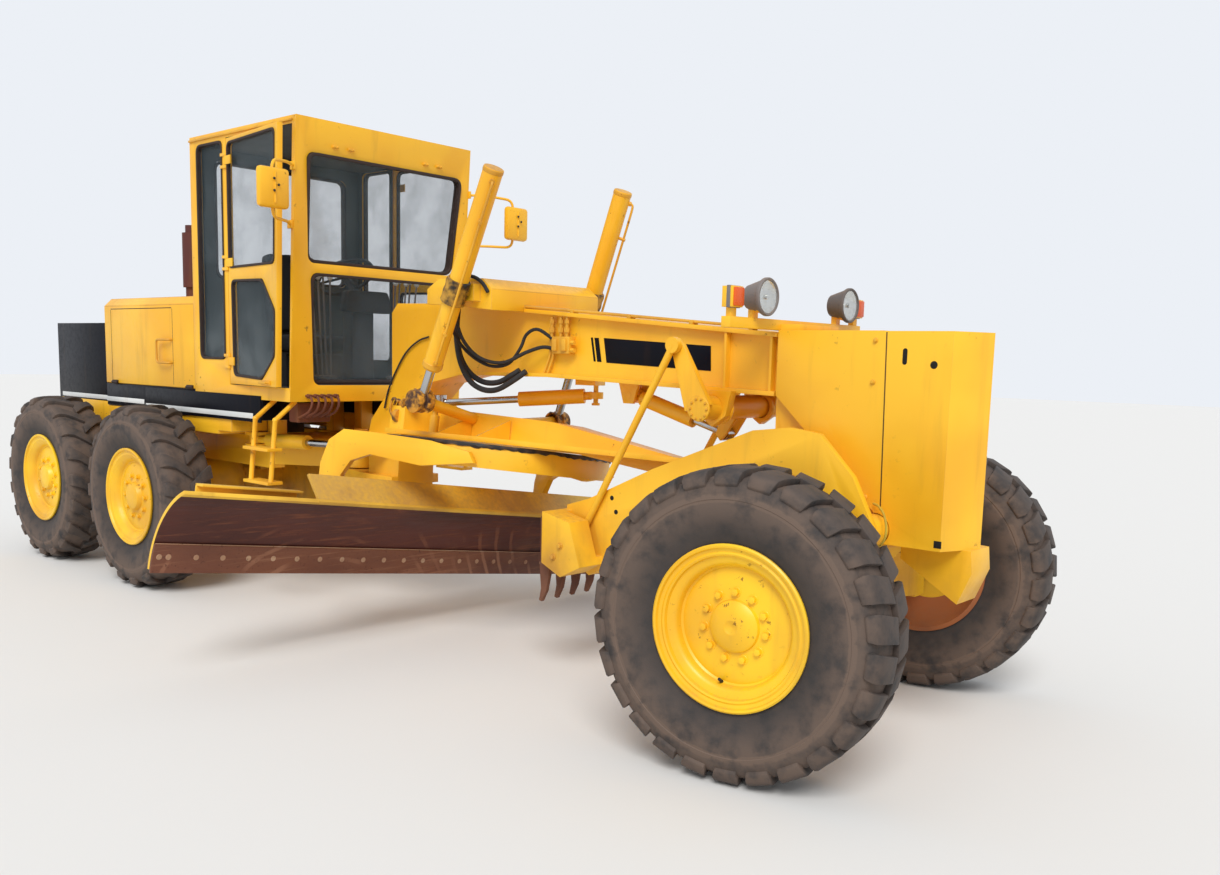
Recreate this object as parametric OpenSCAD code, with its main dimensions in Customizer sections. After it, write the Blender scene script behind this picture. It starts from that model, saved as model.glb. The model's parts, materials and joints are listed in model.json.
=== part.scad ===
// Motor grader with an articulated frame, a circle-mounted blade and a scarifier ahead of it.
// X points forward, Y to the machine's left and Z up. The origin lies on the ground, on the
// centreline, below the articulation pin. All sizes are in millimetres.

/* [Wheels] */
// Outer diameter over the lugs
tyre_od = 1330; // [1200:10:1400]
// Width of a tyre
tyre_w = 370; // [320:10:420]
// Depth of the tyre lugs
lug_h = 32; // [15:1:40]
// Diameter over the rim flange
rim_od = 704; // [660:2:740]
// Distance of a wheel's middle from the centreline
wheel_y = 955; // [900:5:1000]
// Front axle ahead of the articulation pin
front_axle_x = 3950; // [3800:10:4100]
// Tandem pivot behind the articulation pin
tandem_x = 2040; // [1950:10:2150]
// Distance between the two tandem wheels of one side
tandem_base = 1540; // [1450:10:1600]
// Steering angle at rest, to the left
steer_rest = 9; // [0:1:10]
// Kingpin's distance from the centreline
kingpin_y = 700; // [680:5:710]

/* [Cab] */
// Height of the cab roof above the ground
cab_top = 3210; // [3000:10:3300]
// Height of the cab's lower edge
cab_bottom = 1410; // [1380:10:1440]
// Half of the cab's width
cab_half = 720; // [680:5:760]
// Rear wall of the cab behind the articulation pin
cab_rear = 1000; // [900:10:1010]
// Front edge of the roof ahead of the articulation pin
cab_front = 340; // [300:10:380]
// How far the windscreen leans back over its height
cab_lean = 220; // [150:10:260]
// How far each side of the windscreen tapers in over its height
cab_taper = 80; // [40:5:120]
// Thickness of the cab's walls
cab_wall = 40; // [30:1:50]
// Thickness of the window glass
glass_t = 6; // [4:1:10]
// Angle at which the right door stands ajar
door_ajar = 7; // [0:1:15]

/* [Rear body] */
// Height of the hood's top
hood_top = 2120; // [2050:10:2160]
// Rear end of the hood behind the articulation pin
hood_rear = 2440; // [2300:10:2500]
// Rear end of the tail behind the articulation pin
tail_rear = 3500; // [3480:10:3600]
// Thickness of the sheet panels
sheet_t = 12; // [8:1:20]
// Half width over the rear frame rails
rail_half = 430; // [410:5:450]
// Height of a rear frame rail
rail_h = 220; // [180:10:240]
// Width of a rear frame rail
rail_w = 110; // [80:5:120]
// Lower edge of the rear frame rails
rail_bottom = 900; // [880:5:930]

/* [Front frame] */
// Half width of the beam's web box
beam_half = 150; // [130:5:170]
// Half width of the beam's flanges
flange_half = 195; // [180:5:210]
// Thickness of the beam's flanges
flange_t = 22; // [15:1:30]
// Half width of the front box
nose_half = 220; // [200:5:240]
// Height of the front box's top
nose_top = 1900; // [1850:10:1950]
// Diameter of the articulation pin
pin_d = 90; // [70:2:110]

/* [Drawbar, circle and blade] */
// Roll of the drawbar at rest, right side up
drawbar_roll = 7.7; // [0:0.1:10]
// Outer radius of the circle
circle_r = 700; // [660:5:720]
// Width of the circle's ring
circle_w = 95; // [80:5:120]
// Height of the circle's ring
circle_h = 140; // [110:5:150]
// Circle's centre ahead of the articulation pin
circle_x = 1450; // [1400:10:1480]
// Length of the blade
blade_l = 3740; // [3400:10:3800]
// Shift of the blade to the right at rest
blade_shift = 175; // [0:5:300]
// Radius of the blade's curve
blade_r = 446; // [420:2:470]
// Thickness of the blade plate
blade_t = 20; // [15:1:25]
// Height of the cutting edge in the drawbar's frame
edge_z = 320; // [300:5:350]

/* [Cylinders] */
// Outer diameter of a blade lift cylinder
lift_d = 112; // [100:2:120]
// Diameter of a blade lift rod
lift_rod_d = 56; // [50:2:60]
// Outer diameter of an articulation cylinder
artic_d = 100; // [90:2:110]

/* [Scarifier] */
// Number of scarifier tines
tine_count = 9; // [5:2:11]
// Distance between two tines
tine_pitch = 122; // [110:1:125]
// Diameter of the scarifier's cross shaft
shaft_d = 120; // [100:2:130]

/* [Hidden] */
right = -1;
left = 1;
e = 0.3;
run = 5;
big = 6000;
yellow = "goldenrod";
black = [0.12, 0.12, 0.15];
steel = "silver";
rubber = [0.17, 0.17, 0.18];

wheel_z = tyre_od / 2;
mid_x = -tandem_x + tandem_base / 2;
rear_x = -tandem_x - tandem_base / 2;

// Shared helpers: a cylinder between two points, a plate drawn in the XZ plane, a pin along Y
module aim(a, b) {
    d = b - a;
    translate(a) rotate([0, acos(d[2] / norm(d)), atan2(d[1], d[0])]) children();
}
module rod(a, b, d) { aim(a, b) cylinder(d = d, h = norm(b - a), $fn = 32); }
module plate_xz(pts, y0, y1) {
    translate([0, y1, 0]) rotate([90, 0, 0]) linear_extrude(y1 - y0) polygon(pts);
}
module pair() { for (side = [right, left]) scale_y(side) children(); }
module scale_y(side) { if (side < 0) mirror([0, 1, 0]) children(); else children(); }
module cross_pin(x, z, y0, y1, d) {
    translate([x, y1, z]) rotate([90, 0, 0]) cylinder(d = d, h = y1 - y0, $fn = 32);
}
module box(lo, hi) { translate(lo) cube(hi - lo); }

// Wheels: each is a tyre and a rim, turned about the wheel's own axle
module at_wheel(x, side, turn = 0) {
    translate([x, side * kingpin_y, wheel_z]) rotate([0, 0, turn])
        translate([0, side * (wheel_y - kingpin_y), 0]) rotate([side * -90, 0, 0]) children();
}
rim_w = 310;
tyre_crown_r = wheel_z - lug_h;
lug_n = 22;
module tyre_carcass() {
    hw = tyre_w / 2;
    rr = rim_od / 2 - 24;
    rotate_extrude($fn = 60) polygon([
        [rr, -rim_w / 2 + 12 + e], [rim_od / 2 + 10, -rim_w / 2 + 12 + e], [rim_od / 2 + 90, -hw + 10],
        [rim_od / 2 + 190, -hw], [tyre_crown_r - 40, -hw + 20], [tyre_crown_r, -hw + 70],
        [tyre_crown_r, hw - 70], [tyre_crown_r - 40, hw - 20], [rim_od / 2 + 190, hw],
        [rim_od / 2 + 90, hw - 10], [rim_od / 2 + 10, rim_w / 2 - 12 - e], [rr, rim_w / 2 - 12 - e]]);
}
// Each lug is a block from the tyre's middle to its shoulder, slanted by its skew
module lugs(skew, n) {
    hw = tyre_w / 2;
    lug_w = 3.14159 * tyre_od / n * 0.52;
    lug_top = sqrt(wheel_z * wheel_z - lug_w * lug_w / 4);
    for (s = [-1, 1]) for (i = [0:n - 1]) rotate([0, 0, (i + (s > 0 ? 0.5 : 0)) * 360 / n])
        translate([tyre_crown_r - 46, 0, 0])
            rotate([0, 90, 0]) linear_extrude(lug_top - tyre_crown_r + 46)
                polygon([[-s * 6, -lug_w / 2], [-s * 6, lug_w / 2 - skew],
                    [-s * (hw - 12), lug_w / 2], [-s * (hw - 12), -lug_w / 2 + skew]]);
}
module tyre(skew) {
    color(rubber) {
        tyre_carcass();
        lugs(skew, lug_n);
    }
}
spindle_d = 110;
module rim_shell(disc_z, disc_t) {
    ro = rim_od / 2;
    rotate_extrude($fn = 60) polygon([
        [ro, -rim_w / 2], [ro, -rim_w / 2 + 10], [ro - 24 - e, -rim_w / 2 + 12], [ro - 24 - e, rim_w / 2 - 12],
        [ro, rim_w / 2 - 10], [ro, rim_w / 2], [ro - 26, rim_w / 2], [ro - 50, rim_w / 2 - 26],
        [ro - 62, rim_w / 2 - 34], [ro - 92, disc_z + disc_t / 2], [100, disc_z + disc_t / 2],
        [100, disc_z - disc_t / 2], [ro - 60, disc_z - disc_t / 2], [ro - 44, disc_z - disc_t / 2 - 40],
        [ro - 44, -rim_w / 2 + 8], [ro - 26, -rim_w / 2]]);
}
module front_rim() {
    color(yellow) difference() {
        union() {
            rim_shell(95, 22);
            translate([0, 0, 40]) cylinder(d = 300, h = 56, $fn = 40);
            translate([0, 0, -60]) cylinder(d = 250, h = 120, $fn = 40);
            translate([0, 0, 95]) cylinder(d1 = 236, d2 = 210, h = 58, $fn = 40);
        }
        translate([0, 0, -61]) cylinder(d = spindle_d + 2, h = 150, $fn = 40);
    }
}
module rear_rim() {
    color(yellow) difference() {
        union() {
            rim_shell(25, 22);
            translate([0, 0, -110]) cylinder(d = 300, h = 135, $fn = 40);
            translate([0, 0, 25]) cylinder(d1 = 200, d2 = 180, h = 60, $fn = 40);
        }
        translate([0, 0, -111]) cylinder(d = spindle_d + 2, h = 150, $fn = 40);
    }
}
module tyre_front_right() { at_wheel(front_axle_x, right, steer_rest) tyre(26); }
module tyre_front_left() { at_wheel(front_axle_x, left, steer_rest) tyre(26); }
module tyre_mid_right() { at_wheel(mid_x, right) tyre(40); }
module tyre_mid_left() { at_wheel(mid_x, left) tyre(40); }
module tyre_rear_right() { at_wheel(rear_x, right) tyre(40); }
module tyre_rear_left() { at_wheel(rear_x, left) tyre(40); }
module rim_front_right() { at_wheel(front_axle_x, right, steer_rest) front_rim(); }
module rim_front_left() { at_wheel(front_axle_x, left, steer_rest) front_rim(); }
module rim_mid_right() { at_wheel(mid_x, right) rear_rim(); }
module rim_mid_left() { at_wheel(mid_x, left) rear_rim(); }
module rim_rear_right() { at_wheel(rear_x, right) rear_rim(); }
module rim_rear_left() { at_wheel(rear_x, left) rear_rim(); }

// Rear frame: two rails, cross members, the tandem axle and the hitch tongue with its pin
tongue_z = [930, 1120];
rail_front = 480;
ear_t = 60;
artic_rear = [-560, 500, 1105];
artic_front = [330, 400, 1125];
axle_d = 340;
case_in = 560;
case_out = 740;
case_h = 400;
module rear_frame() {
    color(yellow) difference() {
        union() {
            pair() box([-tail_rear + 60, rail_half - rail_w, rail_bottom], [-rail_front, rail_half, rail_bottom + rail_h]);
            for (x = [-3200, -2560, -1560, -1080])
                box([x, -rail_half + rail_w - 1, rail_bottom + 30], [x + 90, rail_half - rail_w + 1, rail_bottom + rail_h - 30]);
            linear_plan([[-800, rail_half - rail_w + 5], [-rail_front, rail_half], [0, 125], [0, -125], [-rail_front, -rail_half], [-800, -rail_half + rail_w - 5]], tongue_z[0], tongue_z[1]);
            translate([0, 0, tongue_z[0]]) cylinder(r = 125, h = tongue_z[1] - tongue_z[0], $fn = 48);
            translate([0, 0, tongue_z[0] - ear_t - 20]) cylinder(d = pin_d, h = tongue_z[1] - tongue_z[0] + 2 * ear_t + 40, $fn = 48);
            translate([-tandem_x, case_in - e, wheel_z]) rotate([90, 0, 0]) cylinder(d = axle_d - 100, h = 2 * (case_in - e), $fn = 48);
            translate([-tandem_x, 0, wheel_z]) sphere(d = 470, $fn = 48);
            pair() box([-tandem_x - 160, rail_half - rail_w, wheel_z + 60], [-tandem_x + 160, rail_half, rail_bottom + 1]);
            pair() artic_ears(artic_rear, [[-680, rail_half - 1], [-680, 520], [-600, 560], [-520, 560], [-500, 480], [-rail_front - 10, rail_half - 1]]);
            pair() translate(artic_rear - [0, 0, 60]) cylinder(d = 40, h = 120, $fn = 32);
            hitch_block();
        }
        translate([-tail_rear - hitch_out, 0, 700]) cylinder(d = hitch_bore, h = 400, $fn = 32);
    }
}
// Two ears above and below a cylinder's eye
module artic_ears(p, outline) {
    for (s = [-1, 1]) translate([0, 0, p[2] + s * 42 - 12]) linear_extrude(24) polygon(outline);
}
// Rear tow hitch: a clevis with a vertical bore
hitch_bore = 44;
hitch_out = 50;
module hitch_block() {
    for (z = [790, 870]) linear_plan([[-tail_rear + 120, 110], [-tail_rear + 20, 60], [-tail_rear - hitch_out - 40, 60], [-tail_rear - hitch_out - 40, -60], [-tail_rear + 20, -60], [-tail_rear + 120, -110]], z, z + 30);
    box([-tail_rear + 60, -rail_half + rail_w - 1, 790], [-tail_rear + 120, rail_half - rail_w + 1, rail_bottom + rail_h - 30]);
}
module linear_plan(pts, z0, z1) { translate([0, 0, z0]) linear_extrude(z1 - z0) polygon(pts); }

// Tandem cases: one chain case a side, with the stub spindles that carry the wheels
module tandem_cases() {
    color(yellow) pair() {
        translate([0, case_out, 0]) rotate([90, 0, 0]) linear_extrude(case_out - case_in) hull() {
            for (x = [mid_x, rear_x]) translate([x, wheel_z]) circle(d = case_h, $fn = 40);
        }
        for (x = [mid_x, rear_x]) {
            cross_pin(x, wheel_z, case_out - 1, case_out + 90, 240);
            cross_pin(x, wheel_z, case_out, wheel_y + 20, spindle_d);
        }
    }
}

// Engine hood: a sheet housing open below, with a louvred service door each side
hood_front = -cab_rear - e;
hood_bottom = rail_bottom + rail_h;
hood_half = cab_half;
band_z = [1270, 1450];
module engine_hood() {
    color(yellow) difference() {
        hood_prism(0);
        hood_prism(sheet_t);
        translate([-1980, -200, hood_top - 60]) cylinder(d = 160, h = 100, $fn = 32);
    }
}
module hood_prism(inset) {
    w = hood_half - inset;
    t = hood_top - inset;
    c = 60;
    translate([-hood_rear + inset, 0, 0]) rotate([90, 0, 90])
        linear_extrude(hood_rear + hood_front - 2 * inset)
            polygon([[-w, band_z[1] + (inset > 0 ? -1 : 0)], [-w, t - c], [-w + c, t], [w - c, t], [w, t - c], [w, band_z[1] + (inset > 0 ? -1 : 0)]]);
}
module engine_block() {
    color("dimgray") box([-2350, -300, rail_bottom + rail_h - 30 + e], [-1180, 300, 1850]);
}
// Side boxes below the hood, yellow, resting on the rails' outer faces
module side_boxes() {
    color(yellow) pair() {
        box([-hood_rear, rail_half + e, 1140], [-700, cab_half - 8, band_z[0] - e]);
        box([-701, rail_half + e, 1165], [-520, cab_half - 8, band_z[0] - e]);
        for (x = [-900, -530]) box([x, rail_half - rail_w, rail_bottom + rail_h + e], [x + 90, rail_half - 2, cab_bottom - e]);
    }
}
module side_band() {
    color(black) pair() box([-hood_rear, rail_half + e, band_z[0]], [-cab_rear - e, cab_half, band_z[1] - e]);
    color(black) pair() box([-cab_rear - 2, rail_half + e, band_z[0]], [-110, cab_half, cab_bottom - e]);
}
// Tail: black radiator housing with an open slatted grille at the rear
tail_top = 1930;
tail_half = 660;
tail_bottom = hood_bottom + e;
module tail_housing() {
    color(black) {
        difference() {
            box([-tail_rear, -tail_half, tail_bottom], [-hood_rear - e, tail_half, tail_top]);
            box([-tail_rear - 1, -tail_half + 90, tail_bottom + 90], [-tail_rear + 200, tail_half - 90, tail_top - 90]);
            box([-tail_rear + 240, -tail_half + 30, tail_bottom + 30], [-hood_rear, tail_half - 30, tail_top - 30]);
        }
        for (z = [tail_bottom + 130:70:tail_top - 130])
            box([-tail_rear + 40, -tail_half + 89, z], [-tail_rear + 70, tail_half - 89, z + 22]);
    }
}
module exhaust() {
    color([0.3, 0.12, 0.1]) translate([-1980, -200, 0]) {
        translate([0, 0, 1850 + e]) cylinder(d = 110, h = 2660 - 1850, $fn = 32);
        translate([0, 0, 2230]) cylinder(d = 150, h = 430, $fn = 32);
        translate([0, 0, 2660]) cylinder(d = 100, h = 60, $fn = 32);
    }
}
// Steps: two bent tubes and two treads a side, hung from the cab's floor
step_x = [-60, 180];
step_y = [650, 800, 840];
step_z = [cab_bottom - e, 1290, 880];
step_d = 32;
module steps() {
    color(yellow) pair() difference() {
        union() {
            for (x = step_x) {
                rod([x, step_y[0], step_z[0]], [x, step_y[1], step_z[1]], step_d);
                rod([x, step_y[1], step_z[1]], [x, step_y[2], step_z[2]], step_d);
                translate([x, step_y[1], step_z[1]]) sphere(d = step_d + 6, $fn = 24);
            }
            for (z = [step_z[2], 1100]) box([step_x[0] - 30, 770, z - 10], [step_x[1] + 30, 880, z + 10]);
        }
        box([step_x[0] - 100, step_y[0] - 100, cab_bottom - e], [step_x[1] + 100, step_y[0] + 100, cab_bottom + 100]);
    }
}

// Cab: a shell of two tapering prisms, cut by the doors and the windows
cab_floor = cab_bottom + 60;
function cab_plan(i) = [[-cab_rear + i, cab_half - i], [cab_front - i * 0.6, cab_half - i], [cab_front - i, cab_half - 20 - i],
    [cab_front - i, -cab_half + 20 + i], [cab_front - i * 0.6, -cab_half + i], [-cab_rear + i, -cab_half + i]];
function cab_foot(i) = [[-cab_rear + i, cab_half - i], [cab_front - cab_lean / 2 - i * 0.6, cab_half - i],
    [cab_front - cab_lean - i, cab_half - 20 - cab_taper - i], [cab_front - cab_lean - i, -cab_half + 20 + cab_taper + i],
    [cab_front - cab_lean / 2 - i * 0.6, -cab_half + i], [-cab_rear + i, -cab_half + i]];
module cab_solid(i, z0, z1) {
    hull() {
        translate([0, 0, z0]) linear_extrude(1) polygon(cab_foot(i));
        translate([0, 0, z1 - 1]) linear_extrude(1) polygon(cab_plan(i));
    }
}
door_hinge_x = -515;
door_w = 808;
door_z = [1500, 3160];
// Door outline in the XZ plane; its front edge leans with the cab's corner
function door_outline(g) = [[door_hinge_x + g, door_z[0] + g], [door_hinge_x + door_w - 70 - g, door_z[0] + g],
    [door_hinge_x + door_w - g, door_z[1] - g], [door_hinge_x + g, door_z[1] - g]];
quarter = [[-910, 1670], [-560, 1670], [-560, 3150], [-910, 3150]];
module window_xz(pts, y0, y1, r) {
    translate([0, y1, 0]) rotate([90, 0, 0]) linear_extrude(y1 - y0) rounded(pts, r);
}
module rounded(pts, r) { offset(r = r, $fn = 24) offset(delta = -r) polygon(pts); }
// The leaning front face: children are drawn as seen from ahead, Y across and Z up
front_angle = atan2(cab_lean, cab_top - cab_bottom);
module on_front() {
    translate([cab_front, 0, cab_top]) rotate([0, front_angle, 0]) rotate([90, 0, 90]) children();
}
upper_screen = [[-610, -900], [610, -900], [640, -210], [-640, -210]];
lower_screen = [[-545, -1690], [545, -1690], [590, -960], [-590, -960]];
rear_screen = [[-560, 2250], [560, 2250], [560, 3080], [-560, 3080]];
module cab_shell() {
    color(yellow) difference() {
        cab_solid(0, cab_bottom, cab_top);
        difference() {
            cab_solid(cab_wall, cab_bottom - 2, cab_top - 50);
            box([-big, -big, 0], [big, big, cab_floor]);
        }
        for (s = [upper_screen, lower_screen]) on_front()
            translate([0, 0, -150]) linear_extrude(300) rounded(s, 50);
        translate([-cab_rear - 50, 0, 0]) rotate([90, 0, 90]) linear_extrude(200) rounded(rear_screen, 50);
        pair() {
            window_xz(door_outline(0), cab_half - 200, cab_half + 50, 1);
            window_xz(quarter, cab_half - 200, cab_half + 50, 40);
            for (z = hinge_z) translate([door_hinge_x, cab_half, z - 30]) cylinder(d = 36, h = 60, $fn = 24);
        }
    }
    color(yellow) pair() {
        hinge_knuckles(30, 50);
        for (z = hinge_z) translate([door_hinge_x, cab_half, z - 45]) cylinder(d = 12, h = 90, $fn = 24);
        for (z = hinge_z, s = [-1, 1]) box([door_hinge_x - 60, cab_half - 3, z + s * 40 - 10], [door_hinge_x - 6, cab_half + 9, z + s * 40 + 10]);
    }
}
module cab_glass() {
    color([0.35, 0.45, 0.45, 0.4]) {
        for (s = [upper_screen, lower_screen]) on_front()
            translate([0, 0, -25]) linear_extrude(glass_t) offset(delta = -e) rounded(s, 50);
        translate([-cab_rear + 20, 0, 0]) rotate([90, 0, 90]) linear_extrude(glass_t) offset(delta = -e) rounded(rear_screen, 50);
        pair() translate([0, cab_half - 20, 0]) rotate([90, 0, 0]) linear_extrude(glass_t) offset(delta = -e) rounded(quarter, 40);
    }
}
// Doors: leaf, window holes and glass; the right one stands ajar
door_t = 36;
door_gap = 6;
door_upper = [[19, 2290], [735, 2290], [766, 3130], [19, 3130]];
door_lower = [[57, 2215], [551, 2205], [735, 2000], [722, 1700], [525, 1545], [70, 1560]];
module door_place(side) {
    scale_y(side) translate([door_hinge_x, cab_half, 0])
        rotate([0, 0, side < 0 ? door_ajar : 0]) translate([-door_hinge_x, -cab_half, 0]) children();
}
hinge_z = [1660, 2330, 3010];
module hinge_knuckles(z0, z1) { for (z = hinge_z, s = [-1, 1]) translate([door_hinge_x, cab_half, s > 0 ? z + z0 : z - z1]) cylinder(d = 26, h = z1 - z0, $fn = 24); }
module door_leaf() {
    color(yellow) difference() {
        union() {
            difference() {
                window_xz(door_outline(door_gap), cab_half - door_t, cab_half, 1);
                for (z = hinge_z) translate([door_hinge_x, cab_half, z - 60]) cylinder(d = 34, h = 120, $fn = 24);
            }
            hinge_knuckles(0, 28);
            for (z = hinge_z) box([door_hinge_x + 8, cab_half - 3, z - 28], [door_hinge_x + 90, cab_half + 9, z + 28]);
        }
        for (z = hinge_z) translate([door_hinge_x, cab_half, z - 100]) cylinder(d = 13, h = 200, $fn = 24);
        for (w = [door_upper, door_lower]) translate([door_hinge_x, cab_half + 1, 0]) rotate([90, 0, 0])
            linear_extrude(door_t + 2) rounded(w, 40);
    }
}
module door_pane() {
    color([0.35, 0.45, 0.45, 0.4]) for (w = [door_upper, door_lower])
        translate([door_hinge_x, cab_half - 12, 0]) rotate([90, 0, 0]) linear_extrude(glass_t) offset(delta = -e) rounded(w, 40);
}
module door_right() { door_place(right) door_leaf(); }
module door_left() { door_place(left) door_leaf(); }
module door_right_glass() { door_place(right) door_pane(); }
module door_left_glass() { door_place(left) door_pane(); }
module seat() {
    color([0.15, 0.15, 0.16]) {
        box([-820, -230, cab_floor + 250], [-330, 230, cab_floor + 400]);
        translate([-820, 0, cab_floor + 380]) rotate([0, -8, 0]) box([-60, -220, 0], [60, 220, 620]);
        box([-720, -150, cab_floor + e], [-430, 150, cab_floor + 251]);
    }
}
module console() {
    color([0.2, 0.2, 0.22]) {
        box([-80, -90, cab_floor + e], [30, 90, cab_floor + 620]);
        translate([-30, 0, cab_floor + 600]) rotate([0, -35, 0]) {
            cylinder(d = 50, h = 260, $fn = 24);
            translate([0, 0, 250]) rotate_extrude($fn = 40) translate([200, 0]) circle(d = 28, $fn = 16);
            translate([0, 0, 250]) for (a = [0, 120, 240]) rotate([0, 90, a]) cylinder(d = 18, h = 195, $fn = 16);
        }
    }
}
mirror_y = 1005;
mirror_z = [2540, 2880];
module mirrors() {
    color(yellow) pair() {
        for (i = [0, 1]) {
            rod([cab_front - 70 + 40 * i, cab_half + 8, mirror_z[i] + 20 * i], [500, mirror_y, mirror_z[i]], 18);
            box([cab_front - 95 + 40 * i, cab_half + e, mirror_z[i] + 20 * i - 25], [cab_front - 50 + 40 * i, cab_half + 13, mirror_z[i] + 20 * i + 25]);
        }
        rod([500, mirror_y, mirror_z[0] - 20], [500, mirror_y, mirror_z[1] + 20], 24);
        translate([505, mirror_y, 2710]) rotate([90, 0, 90]) linear_extrude(35) square([210, 240], center = true);
    }
}

// Front frame: gooseneck and beam in one plate box, hitch ears behind and the axle bolster ahead
bolster = [[3600, nose_top - 25 - e], [3600, 1300], [3740, 860], [3860, 800], [4080, 800], [4170, 900], [4170, nose_top - 25 - e]];
ear_z = [[tongue_z[0] - 10 - ear_t, tongue_z[0] - 10], [tongue_z[1] + 10, tongue_z[1] + 10 + ear_t]];
module front_frame() {
    color(yellow) difference() {
        union() {
            plate_xz([[300, 1200], [330, 1290], [560, 1530], [560, 2010], [620, 2070], [1360, 2060], [3620, 1888],
                [3620, 1584], [2060, 1630], [1250, 1620], [950, 1560], [760, 1400], [640, 1180], [620, 850], [300, 850]], -beam_half, beam_half);
            plate_xz([[1360, 2060 - flange_t], [1360, 2060], [3600, 1890], [3600, 1890 - flange_t]], -flange_half, flange_half);
            plate_xz([[1250, 1620], [1250, 1620 + flange_t], [2060, 1630 + flange_t], [3600, 1585 + flange_t], [3600, 1585], [2060, 1630]], -flange_half, flange_half);
            plate_xz(bolster, -beam_half - 20, beam_half + 20);
            for (z = ear_z) {
                linear_plan([[0, 120], [340, 200], [620, 200], [620, -200], [340, -200], [0, -120]], z[0], z[1]);
                translate([0, 0, z[0]]) cylinder(r = 120, h = z[1] - z[0], $fn = 48);
            }
            pair() artic_ears(artic_front, [[330, 140], [280, 380], [300, 440], [360, 440], [400, 380], [560, 140]]);
            for (x = [3290, 3560]) plate_xz([[x, 1600], [x + 14, 1600], [x + 14, 1890], [x, 1890]], -flange_half + 5, flange_half - 5);
            scar_bearings();
            scar_barrel_bracket();
            drawbar_socket();
            pair() cross_pin(scar_pivot[0], scar_pivot[1], beam_half + 10, scar_arm_y[0] - e, 140);
            pair() cross_pin(scar_pivot[0], scar_pivot[1], scar_arm_y[0] - 1, scar_arm_y[1] + 20, 60);
            shift_bracket();
            axle_ears();
        }
        translate([0, 0, 700]) cylinder(d = pin_d + 1, h = 600, $fn = 48);
        linear_plan([[-200, 300], [190, 300], [190, -300], [-200, -300]], tongue_z[0] - 10, tongue_z[1] + 10);
        difference() {
            axle_slot();
            translate([front_axle_x - 200, 0, axle_pin_z]) rotate([0, 90, 0]) cylinder(d = 70, h = 400, $fn = 32);
        }
    }
}
axle_pin_z = 730;
axle_half = 100;
module axle_slot() { box([front_axle_x - axle_half - 1, -400, 600], [front_axle_x + axle_half + 1, 400, 845]); }
module axle_ears() {
    for (x = [front_axle_x - axle_half - 40, front_axle_x + axle_half + 5])
        translate([x, 0, 0]) rotate([90, 0, 90]) linear_extrude(35)
            polygon([[-170, 900], [-90, axle_pin_z - 80], [90, axle_pin_z - 80], [170, 900]]);
    translate([front_axle_x - axle_half - 50, 0, axle_pin_z]) rotate([0, 90, 0])
        cylinder(d = 70, h = 2 * axle_half + 100, $fn = 32);
}
module scar_bearings() {
    pair() difference() {
        plate_xz([[crank_x - 110, 1600], [crank_x - 80, crank_z - 40], [crank_x, crank_z - 95], [crank_x + 80, crank_z - 40], [crank_x + 110, 1600]], 190, 240);
        cross_pin(crank_x, crank_z, 180, 250, shaft_d + 1);
    }
}
module scar_barrel_bracket() {
    pair() plate_xz([[2490, 1625], [2640, 1622], [2600, scar_rear[1] - 45], [2530, scar_rear[1] - 45]], 45, 65);
    cross_pin(scar_rear[0], scar_rear[1], -66, 66, 40);
}
ball = [3600, 0, 1080];
module drawbar_socket() {
    difference() {
        box([ball[0] + 8, -85, ball[2] - 85], [3760, 85, ball[2] + 85]);
        translate(ball) sphere(r = 61, $fn = 40);
    }
}
shift_eye = [2040, 250, 1520];
shift_pin_d = 30;
module shift_bracket() {
    linear_plan([[1960, 150], [2120, 150], [2095, 270], [2070, 292], [2010, 292], [1985, 270]], 1582, 1616);
    translate([shift_eye[0], shift_eye[1], 1470]) cylinder(d = shift_pin_d, h = 120, $fn = 32);
    translate([shift_eye[0], shift_eye[1], 1460]) cylinder(d = shift_pin_d + 20, h = 14, $fn = 32);
}
// Saddle over the beam that carries the two lift cylinders in yokes
lift_trunnion = [1690, 570, 2100];
module lift_saddle() {
    color(yellow) {
        difference() {
            plate_xz([[1290, 2040], [1290, 2130], [1400, 2190], [1780, 2180], [1860, 2120], [1860, 2000], [1640, 2020]], -450, 450);
            plate_xz([[1280, 1950], [1280, 2061.1 + e], [1360, 2060 + e], [1880, 2060 + e - 520 * 170 / 2240], [1880, 1950]], -flange_half - e, flange_half + e);
        }
        for (side = [right, left]) difference() {
            scale_y(side) box([lift_trunnion[0] - 75, 440, 2050], [lift_trunnion[0] + 75, lift_trunnion[1] - lift_d / 2 - 12, 2150]);
            along_axis(side) cylinder(d = 51, h = 200, $fn = 32);
        }
    }
}
// Nose box: plate panels, shallow vee front and tapering chin
nose_seam = 4172;
nose_low = 945;
module nose_box() {
    color(yellow) difference() {
        union() {
            plate_xz([[3625, nose_top], [3625, 1590], [nose_seam, 1086], [nose_seam, nose_top]], -nose_half, nose_half);
            linear_plan(nose_plan(0), nose_low, nose_top - 2);
            plate_xz([[4260, 960], [4260, 870], [4540, 700], [4600, 846], [4590, 946]], -100, 100);
        }
        plate_xz([[3500, nose_top - 25], [3500, 1500], [3700, 1300], [nose_seam - 8, 860], [nose_seam + 0.3, 860], [nose_seam + 0.3, nose_top - 25]],
            -nose_half + sheet_t, nose_half - sheet_t);
        linear_plan(nose_plan(sheet_t), nose_low + sheet_t, nose_top - 25);
        linear_plan([[nose_seam - 10, 150], [4230, 150], [4230, -150], [nose_seam - 10, -150]], 900, nose_low + 60);
        cross_pin(scar_pivot[0], scar_pivot[1], -400, 400, 150);
    }
}
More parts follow.
